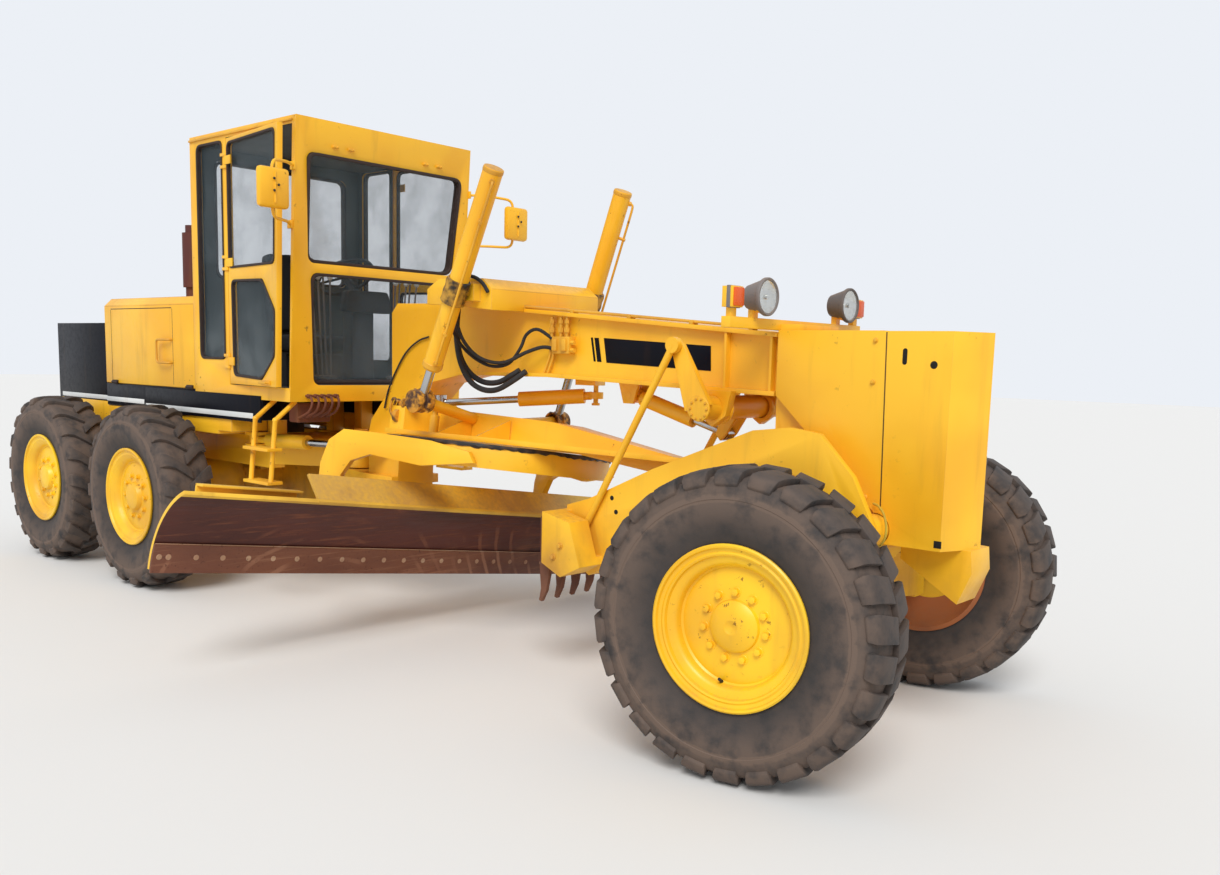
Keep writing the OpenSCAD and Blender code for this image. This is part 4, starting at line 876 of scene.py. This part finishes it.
for side, sign in SIDES:
    down, trunnion = lift_axis(side), Vector((1.690, sign * 0.570, 2.100))
    top, foot = trunnion - down * 0.730, trunnion + down * 0.490
    rings = [lathe(gland, foot, down, 40), lathe(cap, top, down, 40)]
    away = Vector((0.62, sign * 0.35, 0))
    away = (away - down * away.dot(down)).normalized()
    low, high = foot - down * 0.055 + away * 0.056, top + down * 0.060 + away * 0.056
    feed = [low, low + away * 0.028, low + away * 0.030 - down * 0.05,
            high + away * 0.030 + down * 0.05, high + away * 0.028, high]
    rings.append(pipe(route(feed, 0.025), 0.0075))
    rings += [pipe([port - away * 0.010, port + away * 0.014], 0.016, 1) for port in (low, high)]
    for spot in (low.lerp(high, 0.18), low.lerp(high, 0.80)):
        rings.append(pipe([spot - away * 0.012, spot + away * 0.042], 0.011, 1))
    fit(rings, "lift_fittings_" + side, "lift_barrel_" + side, "yellow_paint", worn_yellow)
    collar = lathe(collar_line, trunnion, down, 48)
    rng = random.Random(11)
    for point in collar.data.vertices:
        out = point.co - trunnion
        out -= down * out.dot(down)
        point.co += out.normalized() * rng.uniform(-0.0025, 0.0035)
    fit(collar, "grease_collar_" + side, "lift_barrel_" + side, "cast_iron", greasy_yellow, angle=60)
    print("lift cylinder", side, "points along", [round(v, 3) for v in down])

# %% [markdown]
# **Cab windows.** Each pane sits in a dark rubber seal with rounded corners. A seal is one
# outline inset to a ring and given thickness. The front seals reach from the wall back to the
# pane, like a channel, because the screen leans more than the wall does.

# %% Seal helper
cab_wall_y = 0.720


def gasket(outline, width, low, high, place):
    """A rubber ring: the outline's edge, width wide inwards, between two depths."""
    piece = sheet(outline, low)
    remesh(piece, outward)
    thicken(piece, high - low, lambda: (bpy.ops.mesh.inset(thickness=width),
                                        bpy.ops.mesh.delete(type="FACE")))
    bevelled(piece, 0.003, 2, 50)
    piece.data.transform(place)
    return piece


def eased(points, radius):
    return [(p.x, p.y) for p in round_corners([Vector((x, y, 0)) for x, y in points], radius)]

# %% Seals of the fixed panes
lean = math.atan2(0.220, 1.800)
forward = Matrix(((0, 0, 1, 0), (1, 0, 0, 0), (0, 1, 0, 0), (0, 0, 0, 1)))
backward = Matrix(((0, 0, -1, 0), (1, 0, 0, 0), (0, 1, 0, 0), (0, 0, 0, 1)))
front_plane = Matrix.Translation((0.340, 0, 3.210)) @ Matrix.Rotation(lean, 4, "Y") @ forward
upper_screen = [(-0.610, -0.900), (0.610, -0.900), (0.640, -0.210), (-0.640, -0.210)]
lower_screen = [(-0.545, -1.690), (0.545, -1.690), (0.590, -0.960), (-0.590, -0.960)]
rear_screen = [(-0.560, 2.250), (0.560, 2.250), (0.560, 3.080), (-0.560, 3.080)]
quarter = [(-0.910, 1.670), (-0.560, 1.670), (-0.560, 3.150), (-0.910, 3.150)]
seals = [gasket(eased(upper_screen, 0.075), 0.020, -0.028, 0.034, front_plane),
         gasket(eased(lower_screen, 0.075), 0.020, -0.028, 0.070, front_plane),
         gasket(eased(rear_screen, 0.075), 0.018, -0.044, 0.006,
                Matrix.Translation((-0.998, 0, 0)) @ backward)]
for sign in (-1, 1):
    seals.append(gasket(eased(quarter, 0.06), 0.016, -0.030, 0.006, side_plane(sign * cab_wall_y, sign)))
print("fixed panes", len(seals))
fit(seals, "cab_seals", "chassis", "plastic", seal_rubber)

# %% [markdown]
# The doors' seals and latches ride the doors. The right door stands ajar in the photograph, so
# what belongs to it is turned about its hinge by the same angle.

# %% Door seals and latches
door_upper = [(0.019, 2.290), (0.735, 2.290), (0.766, 3.130), (0.019, 3.130)]
door_lower = [(0.057, 2.215), (0.551, 2.205), (0.735, 2.000), (0.722, 1.700), (0.525, 1.545), (0.070, 1.560)]
hinge_x, ajar = -0.515, math.radians(7)


def door_side(sign):
    """The plane of a door's outer skin, with X measured from the hinge."""
    turn = Matrix.Rotation(-ajar, 4, "Z") if sign < 0 else Matrix.Identity(4)
    return Matrix.Translation((hinge_x, sign * cab_wall_y, 0)) @ turn @ side_plane(0, sign)


for side, sign in SIDES:
    rings = [gasket(eased(shape, 0.055), 0.016, -0.020, 0.006, door_side(sign))
             for shape in (door_upper, door_lower)]
    fit(rings, "door_seals_" + side, "door_" + side, "plastic", seal_rubber)
    skin = door_side(sign)
    latch = [plate([(0.520, 1.515), (0.650, 1.515), (0.650, 1.545), (0.520, 1.545)], 0.010, skin, 0.003)]
    grip = ((0.535, 1.530, 0.010), (0.535, 1.530, 0.030), (0.635, 1.530, 0.032), (0.635, 1.530, 0.010))
    latch.append(pipe([skin @ Vector(v) for v in grip], 0.007))
    fit(latch, "door_latch_" + side, "door_" + side, "yellow_paint", worn_yellow)
print("right door ajar by", round(math.degrees(ajar)), "degrees")

# %% [markdown]
# **Cab trim.** A rain gutter runs round the roof, two hinge brackets for a sun visor stay on the
# header, and mirror heads with rounded backs hang on bent tubes. Inside stand the levers with
# pale knobs and an instrument cowl.

# %% Gutter and header brackets
gutter = []
for sign in (-1, 1):
    gutter.append(slab((-1.000, sign * 0.716, 3.176), (0.300, sign * 0.732, 3.190), 0.003))
    for spot in (0.43, 0.31):
        gutter.append(slab((0.318, sign * spot - 0.022, 3.045), (0.346, sign * spot + 0.022, 3.062), 0.003))
fit(gutter, "cab_gutter", "chassis", "yellow_paint", worn_yellow)
header_spots = []
for y in (-0.445, -0.415, -0.325, -0.295, 0.295, 0.325, 0.415, 0.445):
    place, normal = surface("cab_shell", (0.6, y, 3.054), (-1, 0, 0))
    header_spots.append((place + Vector((0.014, 0, 0)), normal))
bolts("header_bolts", "chassis", header_spots, 0.006)
print("header bolts", len(header_spots))

# %% Mirrors
mirror_set, holes = [], []
mirror_y, mirror_z = 1.005, 2.71
for sign in (-1, 1):
    head_y = sign * mirror_y
    head = slab((0.498, head_y - 0.105, 2.590), (0.548, head_y + 0.105, 2.830), 0.024)
    for point in head.data.vertices:
        if point.co.x > 0.53:
            off = Vector((0, point.co.y - head_y, point.co.z - mirror_z))
            point.co.x += 0.012 * max(0.0, 1 - (off.length / 0.16) ** 2)
    mirror_set.append(head)
    for low, high, foot_x in ((2.540, 2.540, 0.270), (2.880, 2.900, 0.310)):
        start = Vector((foot_x, sign * 0.728, high))
        arm = [start, (0.400, sign * 0.830, high), (0.500, sign * 0.990, low), (0.500, head_y, mirror_z)]
        mirror_set.append(pipe(route(arm, 0.05), 0.0095))
        reach = Vector((0.024, 0.008, 0.026))
        mirror_set.append(slab(start - reach, start + reach, 0.003))
    mirror_set.append(pipe([(0.552, head_y, 2.62), (0.552, head_y, 2.80)], 0.008, 2))
    # The three dark heads on each mirror's back are painted shade for its holes, in the near-black grease finish.
    for y, z in ((-0.012, 0.050), (-0.012, -0.020), (0.018, 0.015)):
        holes.append((Vector((0.561, head_y + y, mirror_z + z)), (1, 0, 0)))
mirrors = fit(mirror_set, "mirror_set", "chassis", "yellow_paint", yellow)
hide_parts("mirrors")
bpy.data.objects.remove(bpy.data.objects["mirrors_skin"])
bolts("mirror_holes", "chassis", holes, 0.006, grease, "cast_iron")
pane = eased([(-0.090, -0.105), (0.090, -0.105), (0.090, 0.105), (-0.090, 0.105)], 0.03)
panes = [plate(pane, 0.002, Matrix.Translation((0.499, y, mirror_z)) @ backward, 0.0008)
         for y in (-mirror_y, mirror_y)]
fit(panes, "mirror_glass", "chassis", "glass", lamp_silver)
print("mirror heads", round(2 * mirror_y, 3), "m apart")

# %% Levers and cowl
knob_line = [(0.0005, -0.019), (0.010, -0.018), (0.019, -0.006), (0.0195, 0.005), (0.014, 0.016),
             (0.006, 0.020), (0.0005, 0.0205)]
rods, knobs = [], []
for sign in (-1, 1):
    for index in range(5):
        top = Vector((0.040 - 0.012 * (index % 2), sign * (0.470 - 0.048 * index),
                      2.245 + 0.018 * (index % 2)))
        foot = Vector((0.020, sign * (0.400 - 0.035 * index), 1.560))
        rods.append(pipe([foot, top], 0.0065, 2))
        knobs.append(lathe(knob_line, top, top - foot, 20))
    rods.append(slab((-0.030, sign * 0.24, 1.470), (0.070, sign * 0.44, 1.580), 0.010))
fit(rods, "lever_rods", "chassis", "plastic", lamp_grey)
fit(knobs, "lever_knobs", "chassis", "plastic", white)
cowl = plate(eased([(-0.200, 2.020), (0.200, 2.020), (0.170, 2.170), (-0.170, 2.170)], 0.03), 0.070,
             Matrix.Translation((0.030, 0, 0)) @ forward, 0.006)
fit(cowl, "instrument_cowl", "chassis", "plastic", cab_plastic)
print("instrument cowl", round(cowl.dimensions.y, 3), "m wide")

# %% [markdown]
# ** Seat.** A cushion bulges between its seams. A box is cut fine, its points are pushed out most
# in the middle of each face, and one round of subdivision smooths it.

# %% Seat
def cushion(name, low, high, place, crown):
    """A pad whose faces swell between its seams: a box cut fine, pushed out most at the middle."""
    pad = box(low, high)
    size, centre = Vector(high) - Vector(low), (Vector(high) + Vector(low)) / 2
    remesh(pad, lambda: bpy.ops.mesh.subdivide(number_cuts=9))
    for point in pad.data.vertices:
        u, v, w = ((point.co[i] - centre[i]) / (size[i] / 2) for i in range(3))
        a, b, c = (max(0.0, 1 - k * k) ** 0.5 for k in (u, v, w))
        seam = 0.006 * (abs(abs(v) - 0.44) < 0.06) * (abs(w) > 0.9 or abs(u) > 0.9)
        point.co += Vector((u * b * c, v * a * c, w * a * b)) * crown - Vector((u, v, w)) * (crown + seam)
    smooth = pad.modifiers.new("smooth", "SUBSURF")
    smooth.levels = smooth.render_levels = 1
    apply_all(pad)
    pad.data.transform(place)
    fit(pad, name, "chassis", "seat", seat_cloth, angle=50)
    return pad


seat_pad = cushion("seat_cushion", (-0.820, -0.230, 1.722), (-0.330, 0.230, 1.868), Matrix.Identity(4), 0.016)
back_tilt = Matrix.Translation((-0.820, 0, 1.850)) @ Matrix.Rotation(math.radians(-8), 4, "Y")
back_pad = cushion("seat_back", (-0.058, -0.218, 0.030), (0.058, 0.218, 0.615), back_tilt, 0.014)
pedestal = slab((-0.720, -0.150, 1.471), (-0.430, 0.150, 1.722), 0.012)
fit(pedestal, "seat_pedestal", "chassis", "plastic", cab_plastic)
for piece in (seat_pad, back_pad, pedestal):
    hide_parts("seat")
print("cushion", [round(v, 3) for v in seat_pad.dimensions])

# %% [markdown]
# ** Blade furniture.** A raised angle is welded on the top edge at the right end. The bolts of
# the cutting edge show as pale, rubbed heads 152 mm apart, and light catches the edge's upper
# lip, so a thin pale rod along the lip is a painted highlight in the bolts' pale finish. These
# are built upright, as the blade was drawn, and then rolled with it.

# %% Blade bracket, bolts and lip
flat_blade = [unrolled @ v.co for v in frame["nodes"]["cutting_edge"].data.vertices]
edge_low, edge_high = min(v.y for v in flat_blade), max(v.y for v in flat_blade)
edge_radius = min(math.hypot(v.x - blade_centre.x, v.z - blade_centre.z) for v in flat_blade)
edge_rise = max(v.z for v in flat_blade) - blade_centre.z
top_angle = 180 - math.degrees(math.asin(edge_rise / (edge_radius + 0.008)))
bolt_pitch = 0.1524


def at_angle(degrees, y, radius):
    turn = math.radians(degrees)
    return blade_centre + Vector((radius * math.cos(turn), y, radius * math.sin(turn)))


count = int((edge_high - edge_low - 0.10) / bolt_pitch) + 1
places = [0.035] + [0.085 + bolt_pitch * i for i in range(count)]
bolt_line = [(0.0005, 0.003), (0.013, 0.003), (0.0155, 0.0015), (0.0155, -0.001), (0.0005, -0.001)]
inward = rolled.to_3x3() @ (at_angle(351, 0, 1) - blade_centre)
heads = [lathe(bolt_line, rolled @ at_angle(171, edge_low + y, edge_radius + 0.0005), inward, 16)
         for y in places]
fit(heads, "edge_bolts", "blade", "blade_steel", rubbed_and_highlight)
# Painted highlight: a thin pale rod along the top of the cutting edge, where light catches the lip.
lip = [rolled @ at_angle(top_angle, y, edge_radius + 0.005) for y in (edge_low + 0.004, edge_high - 0.004)]
fit(pipe(lip, 0.0032, 1), "edge_lip_highlight", "blade", "blade_steel", rubbed_and_highlight)
bracket = join("blade_bracket", [
    slab((1.245, -1.900, 0.728), (1.259, -1.305, 0.802), 0.003),
    slab((1.245, -1.900, 0.788), (1.318, -1.305, 0.802), 0.003),
    slab((1.200, -1.900, 0.728), (1.259, -1.305, 0.742), 0.003)])
bracket.data.transform(rolled)
fit(bracket, "blade_bracket", "blade", "yellow_paint", blade_yellow)
print("bolts in the edge", len(places), "over", round(edge_high - edge_low, 3), "m")

# %% [markdown]
# **Grease on the circle.** The circle runs in grease against the drawbar's plate, and a ragged
# black line of it shows all round the top of the ring. It is a thin lathe ring with its points
# pushed in and out by a fixed random number.

# %% Grease bead
bead_line = [(0.688, 1.158), (0.7015, 1.158), (0.7050, 1.163), (0.7060, 1.169), (0.7040, 1.1755),
             (0.688, 1.1755)]
circle_axis = Vector((1.450, 0, 0))
bead = lathe(bead_line, circle_axis, (0, 0, 1), 180)
rng = random.Random(5)
for point in bead.data.vertices:
    out = point.co - circle_axis
    out.z = 0
    if out.length > 0.70:
        point.co += out.normalized() * rng.uniform(-0.001, 0.004)
        if point.co.z < 1.17:
            point.co.z -= rng.uniform(0.0, 0.014)
bead.data.transform(rolled)
fit(bead, "circle_grease", "turn_circle", "cast_iron", grease, angle=60)
print("points in the bead", len(bead.data.vertices))

# %% [markdown]
# **Ball clamps.** The cup at each rod's foot closes round a ball on the drawbar. A rusty ring and
# two bolts hold its halves together.

# %% Ball clamps
clamp_line = [(0.060, -0.012), (0.0715, -0.012), (0.0735, -0.009), (0.0735, 0.009), (0.0715, 0.012),
              (0.060, 0.012)]
for side, sign in SIDES:
    skin = bpy.data.objects["lift_rod_" + side + "_skin"]
    foot_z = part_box("lift_rod_" + side)[0].z
    cup = [v.co for v in skin.data.vertices if v.co.z < foot_z + 0.130]
    centre = sum(cup, Vector()) / len(cup)
    pin, down = rolled.to_3x3() @ Vector((0, sign, 0)), lift_axis(side)
    clamp = [lathe(clamp_line, centre, pin, 48)]
    for hand in (-1, 1):
        ear = pin.cross(down).normalized() * hand
        bolt = centre + ear * 0.082
        clamp.append(pipe([bolt - down * 0.030, bolt + down * 0.030], 0.013, 1))
        clamp.append(pipe([centre + ear * 0.066, centre + ear * 0.090], 0.018, 1))
    fit(clamp, "ball_clamp_" + side, "lift_rod_" + side, "rust", clamp_rust)
    refinish(skin, clamp_rust, lambda face: face.center.z < foot_z + 0.145)
    print("ball", side, [round(v, 3) for v in centre])

# %% [markdown]
# ** Band and hood.** A white stripe runs along the black band on the right side, in lengths,
# because the front length of the band is a separate panel that stands slightly proud. Below the
# stripe the tail is yellow. The hood has a panel seam, a pressed groove, a bar handle and two
# black hinges. The seam and the groove are thin strips in the dark finish of the window seals:
# painted shade in the gap and in the groove.

# %% Strips on a side
def seen(name, x, z, side):
    """The surface of a solid at an X and a Z, seen from one side."""
    return surface(name, (x, side * 2.0, z), (0, -side, 0))


def skin_at(names, x, z, side=-1):
    """The outermost of the named solids at an X and a Z, seen from one side."""
    hits = [seen(name, x, z, side)[0] for name in names]
    return max((hit for hit in hits if hit), key=lambda hit: hit.y * side)


def strip_on(names, ends, height, proud, side=-1):
    """A thin strip that follows the surface between two places given as X and Z."""
    (x0, z0), (x1, z1) = ends
    reach = [skin_at(names, x, z, side).y * side for x, z in ends]
    grow = (0, height / 2) if abs(z1 - z0) < abs(x1 - x0) else (height / 2, 0)
    low = (min(x0, x1) - grow[0], side * (min(reach) - 0.002), min(z0, z1) - grow[1])
    high = (max(x0, x1) + grow[0], side * (max(reach) + proud), max(z0, z1) + grow[1])
    return slab(low, high, 0.0004)

# %% Band panel, stripe and sills
all_sides = ("side_band", "side_boxes", "tail_housing", "engine_hood", "cab_shell", "rear_frame")
panel = strip_on(all_sides, ((-1.758, 1.345), (-0.118, 1.345)), 0.180, 0.007)
fit(panel, "band_panel", "chassis", "black_paint", black)
stripes = [strip_on((name,), ((back, z), (front, z)), 0.036, proud) for name, back, front, z, proud in (
    ("side_band", -2.436, -1.796, 1.322, 0.002),
    ("side_band", -1.756, -0.213, 1.296, 0.0085),
    ("tail_housing", -3.440, -2.446, 1.322, 0.002))]
fit(stripes, "white_stripe", "chassis", "black_paint", white)
sills = [strip_on(("tail_housing",), ((-3.490, 1.206), (-2.446, 1.206)), 0.172, 0.003, side)
         for side in (-1, 1)]
fit(sills, "tail_sills", "chassis", "yellow_paint", yellow)
print("band panel", round(panel.dimensions.x, 3), "m long")

# %% Hood seams, handles and hinges
seam_shade_and_hinges, handles = [], []
for side in (-1, 1):
    for x0, z0, x1, z1, width in ((-1.320, 1.470, -1.320, 2.030, 0.005),
                                  (-2.322, 2.035, -1.330, 2.035, 0.006),
                                  (-2.325, 1.470, -2.325, 2.030, 0.005)):
        # Painted shade: each strip is a thin dark band on the hood for the shade in a seam or a groove.
        seam_shade_and_hinges.append(strip_on(("engine_hood",), ((x0, z0), (x1, z1)), width, 0.0006, side))
    wall = skin_at(("engine_hood",), -1.40, 1.72, side)
    near, off = wall.y - side * 0.004, wall.y + side * 0.036
    bar = [(-1.335, near, 1.800), (-1.335, off, 1.800), (-1.505, off, 1.800), (-1.505, off, 1.630),
           (-1.335, off, 1.630), (-1.335, near, 1.630)]
    handles.append(pipe(route(bar, 0.03), 0.0085))
    for x, z in ((-2.27, 1.46), (-1.07, 1.46)):
        y = skin_at(("engine_hood", "cab_shell"), x, z, side).y
        seam_shade_and_hinges.append(slab((x - 0.045, y - side * 0.002, z - 0.016),
                          (x + 0.045, y + side * 0.012, z + 0.016), 0.004))
        seam_shade_and_hinges.append(pipe([(x - 0.045, y + side * 0.010, z), (x + 0.045, y + side * 0.010, z)], 0.009, 2))
fit(seam_shade_and_hinges, "hood_seam_shade_and_hinges", "chassis", "plastic", seal_rubber)
fit(handles, "hood_handles", "chassis", "yellow_paint", worn_yellow)
print("hood's side stands at", round(wall.y, 3))

# %% [markdown]
# ** Nose and headlamps.** The nose is folded plate: a seam and a row of bolts hold each side
# panel, and a lifting slot and a round hole are cut through it. The seam is a thin dark brown
# plate, painted shade in the joint with grime in it. The slot, the hole and a small notch low
# down are thin near-black plates, painted shade for the inside of each opening. Each headlamp
# has a grey housing, a pressed bezel, a bright dish and a domed clear lens. The small box lamps
# beside them are turn signals with an orange face.

# %% Nose panels
seam_line = [(4.1865, 1.893), (4.1925, 1.893), (4.2095, 1.098), (4.2035, 1.098)]
slot = arc((4.282, 1.812), 0.011, math.pi / 8, 9) + arc((4.282, 1.762), 0.011, math.pi / 8, 9, math.pi)
round_hole = arc((4.419, 1.753), 0.017, math.tau / 20, 20)
notch = [(4.470, 0.960), (4.505, 0.960), (4.505, 0.992), (4.470, 0.992)]
nose_seams, nose_bolts, nose_holes = [], [], []
for side in (-1, 1):
    seam_y = max(seen("nose_box", x, z, side)[0].y * side for x, z in ((4.190, 1.88), (4.205, 1.12))) * side
    # The seam is a thin dark brown plate: painted shade in the joint, with grime.
    nose_seams.append(plate(seam_line, 0.0012, side_plane(seam_y - side * 0.0004, side), 0.0003))
    for x, z in ((4.138, 1.857), (4.135, 1.671), (3.997, 1.275), (4.128, 1.149)):
        nose_bolts.append(seen("nose_box", x, z, side))
    # The slot, the round hole and the notch are thin near-black plates: painted shade for the inside of each
    # opening.
    for shape, x, z in ((slot, 4.282, 1.79), (round_hole, 4.419, 1.753), (notch, 4.49, 0.976)):
        place, normal = seen("nose_box", x, z, side)
        turn = Vector((0, side, 0)).rotation_difference(normal).to_matrix().to_4x4()
        lying = Matrix.Translation(place - normal * 0.001) @ turn @ Matrix.Translation((-x, 0, -z))
        nose_holes.append(plate(shape, 0.0018, lying @ side_plane(0, side), 0.0003))
fit(nose_seams, "nose_seams", "front", "yellow_paint", seam_shade_and_grime)
fit(nose_holes, "nose_holes", "front", "black_paint", hole_shade)
bolts("nose_bolts", "front", nose_bolts, 0.009)
print("nose bolts", len(nose_bolts))

# %% Headlamps
lamp_skin = soften("lamp_bar", 0.003, yellow, worn_yellow)
lamp_y = 0.382


def on_lamp(face):
    x, y, z = face.center
    return z > 1.985 and x > 3.565 and abs(abs(y) - lamp_y) < 0.09


refinish(lamp_skin, lamp_grey, on_lamp)
bezel_line = [(0.072, 0.000), (0.086, 0.000), (0.0885, 0.004), (0.0885, 0.016), (0.084, 0.021),
              (0.076, 0.019), (0.074, 0.008)]
dish_line = [(0.0005, 0.002), (0.076, 0.002), (0.076, 0.012), (0.060, 0.006), (0.030, 0.0035),
             (0.012, 0.003), (0.010, 0.012), (0.0005, 0.013)]
lens_line = [(0.0005, 0.014), (0.075, 0.012), (0.076, 0.017), (0.060, 0.024), (0.034, 0.029), (0.0005, 0.031)]
bezels, dishes, lenses, signals = [], [], [], []
for sign in (-1, 1):
    face = Vector((3.650, sign * lamp_y, 2.046))
    for group, line in ((bezels, bezel_line), (dishes, dish_line), (lenses, lens_line)):
        group.append(lathe(line, face, (1, 0, 0), 48))
    signals.append(slab((3.617, sign * 0.524, 1.996), (3.632, sign * 0.596, 2.080), 0.005))
    bezels.append(slab((3.586, sign * 0.56 - 0.044, 1.988), (3.606, sign * 0.56 + 0.044, 2.088), 0.003))
fit(bezels, "lamp_bezels", "front", "black_paint", lamp_grey)
fit(dishes, "lamp_dishes", "front", "chrome_rod", lamp_silver)
fit(lenses, "lamp_lenses", "front", "glass", lamp_lens)
fit(signals, "signal_faces", "front", "plastic", signal_orange)
print("headlamps", round(2 * lamp_y, 3), "m apart")

# %% [markdown]
# ** Scarifier crank.** The crank turns on a shaft through the nose. Its end cap is a disc held by
# ten small screws, and a rubber ring keeps dirt off the shaft beside the beam. The bracket by the
# front wheel has two open bolt holes, each drawn as a thin near-black disc on the surface, painted
# shade for the inside of the hole, and the link is pinned there with two bolts.

# %% Crank cap
cap_line = [(0.0005, 0.012), (0.020, 0.012), (0.044, 0.010), (0.060, 0.008), (0.063, 0.004),
            (0.063, -0.002), (0.0005, -0.002)]
ring_line = [(0.058, -0.012), (0.074, -0.010), (0.078, 0.0), (0.074, 0.010), (0.058, 0.012)]
crank_x, crank_z = 3.283, 1.510
caps, screws = [], []
for side in (-1, 1):
    centre = Vector((crank_x, side * 0.366, crank_z))
    caps.append(lathe(cap_line, centre, (0, side, 0), 48))
    caps.append(lathe(ring_line, (crank_x, side * 0.185, crank_z), (0, 1, 0), 40))
    for x, z in arc((centre.x, centre.z), 0.050, math.tau / 10, 10):
        screws.append((Vector((x, centre.y + side * 0.010, z)), (0, side, 0)))
fit(caps, "crank_caps", "scarifier_crank", "yellow_paint", yellow)
bolts("crank_screws", "scarifier_crank", screws, 0.005)
print("screws in the caps", len(screws))

# %% Holes and bolts of the scarifier
screw_hole = arc((0, 0), 0.013, math.tau / 18, 18)
scarifier_holes, scarifier_bolts = [], []
for side in (-1, 1):
    # Painted shade: a thin near-black disc over each open bolt hole.
    for x, z in ((2.727, 1.011), (2.758, 0.939)):
        place, normal = seen("scarifier", x, z, side)
        scarifier_holes.append(plate(screw_hole, 0.0016, facing(normal, place - normal * 0.0006), 0.0003))
    scarifier_bolts += [seen("scarifier", x, z, side) for x, z in ((2.538, 0.749), (2.488, 0.682))]
fit(scarifier_holes, "scarifier_holes", "scarifier", "black_paint", hole_shade)
bolts("scarifier_bolts", "scarifier", scarifier_bolts, 0.014)
print("holes", len(scarifier_holes), "bolts", len(scarifier_bolts))

# %% [markdown]
# **Small pipes under the cab.** A bunch of rusty control rods comes out under the windscreen and
# bends down and back to the valves below the floor.

# %% Control rods below the windscreen
control_rods = []
for index in range(5):
    y = -0.60 + 0.052 * index
    bend = [(0.200, y, 1.452), (0.290, y, 1.446), (0.315, y - 0.006, 1.400), (0.285, y - 0.012, 1.345),
            (0.170, y - 0.02, 1.300)]
    control_rods.append(pipe(route(bend, 0.03), 0.0085))
    control_rods.append(pipe([(0.255, y, 1.449), (0.285, y, 1.4465)], 0.016, 1))
control_rods.append(slab((0.070, -0.630, 1.270), (0.180, -0.375, 1.400), 0.010))
print("parts of the control rods", len(control_rods))
fit(control_rods, "control_rods", "chassis", "rust", rusty)

# %% [markdown]
# **Fittings on the drawbar.** Pipes for the side-shift cylinder end in greasy unions on the
# drawbar's rear post. Each is a short thick length, with thin pipes bent between them.

# %% Unions on the drawbar's post
unions = []
for start, end, radius in (((0.950, -0.372, 1.428), (1.072, -0.378, 1.440), 0.026),
                           ((0.985, -0.374, 1.430), (1.010, -0.376, 1.434), 0.036),
                           ((1.050, -0.377, 1.437), (1.066, -0.378, 1.439), 0.034),
                           ((0.925, -0.392, 1.352), (0.962, -0.392, 1.352), 0.044),
                           ((0.912, -0.392, 1.352), (0.930, -0.392, 1.352), 0.026)):
    unions.append(pipe([start, end], radius))
for step in range(3):
    y = -0.352 - 0.026 * step
    bend = [(0.955, y, 1.440), (0.915, y - 0.008, 1.448 + 0.012 * step), (0.885, y - 0.014, 1.400),
            (0.900, y - 0.010, 1.352), (0.948, y, 1.345)]
    unions.append(pipe(route(bend, 0.03), 0.0085))
print("union parts", len(unions))
fit(unions, "drawbar_unions", "drawbar", "rust", clamp_rust, angle=50)

# %% [markdown]
# **Studio.** A pale floor and an even pale surround, with one broad sun from the camera's side,
# show the paint at about its own colour. The surround is brighter to the camera than to the
# object, so the background stays white without bleaching the machine.

# %% Floor
clear()
bpy.ops.mesh.primitive_plane_add(size=120, location=(0, 0, -0.001))
floor = bpy.context.object
floor.name = "studio_floor"
floor_finish = bpy.data.materials.new("studio_floor")
floor_finish.use_nodes = True
floor_shader = floor_finish.node_tree.nodes["Principled BSDF"]
floor_shader.inputs["Base Color"].default_value = rgb(226, 224, 220)
floor_shader.inputs["Roughness"].default_value = 0.9
floor.data.materials.append(floor_finish)
print("floor", [round(v) for v in floor.dimensions])

# %% Surround
world = bpy.data.worlds.new("studio")
bpy.context.scene.world = world
world.use_nodes = True
air = world.node_tree
backdrop = air.nodes["Background"]
backdrop.inputs["Color"].default_value = rgb(236, 240, 246)
rays = air.nodes.new("ShaderNodeLightPath")
level = air.nodes.new("ShaderNodeMapRange")
level.inputs["To Min"].default_value = 0.74
share = rays.outputs["Is Camera Ray"]
for kind in ("Is Transmission Ray", "Is Glossy Ray"):
    either = air.nodes.new("ShaderNodeMath")
    either.operation = "MAXIMUM"
    air.links.new(share, either.inputs[0])
    air.links.new(rays.outputs[kind], either.inputs[1])
    share = either.outputs[0]
air.links.new(share, level.inputs["Value"])
air.links.new(level.outputs[0], backdrop.inputs["Strength"])
print("nodes of the surround", len(air.nodes))

# %% Sun
clear()
bpy.ops.object.light_add(type="SUN", location=(4, -6, 8))
sun = bpy.context.object
sun.data.energy = 2.2
sun.data.angle = 0.5
sun.rotation_euler = Vector((0.45, -0.62, 0.80)).to_track_quat("Z", "Y").to_euler()

bpy.context.scene.view_settings.view_transform = "Standard"
print("sun's strength", sun.data.energy)
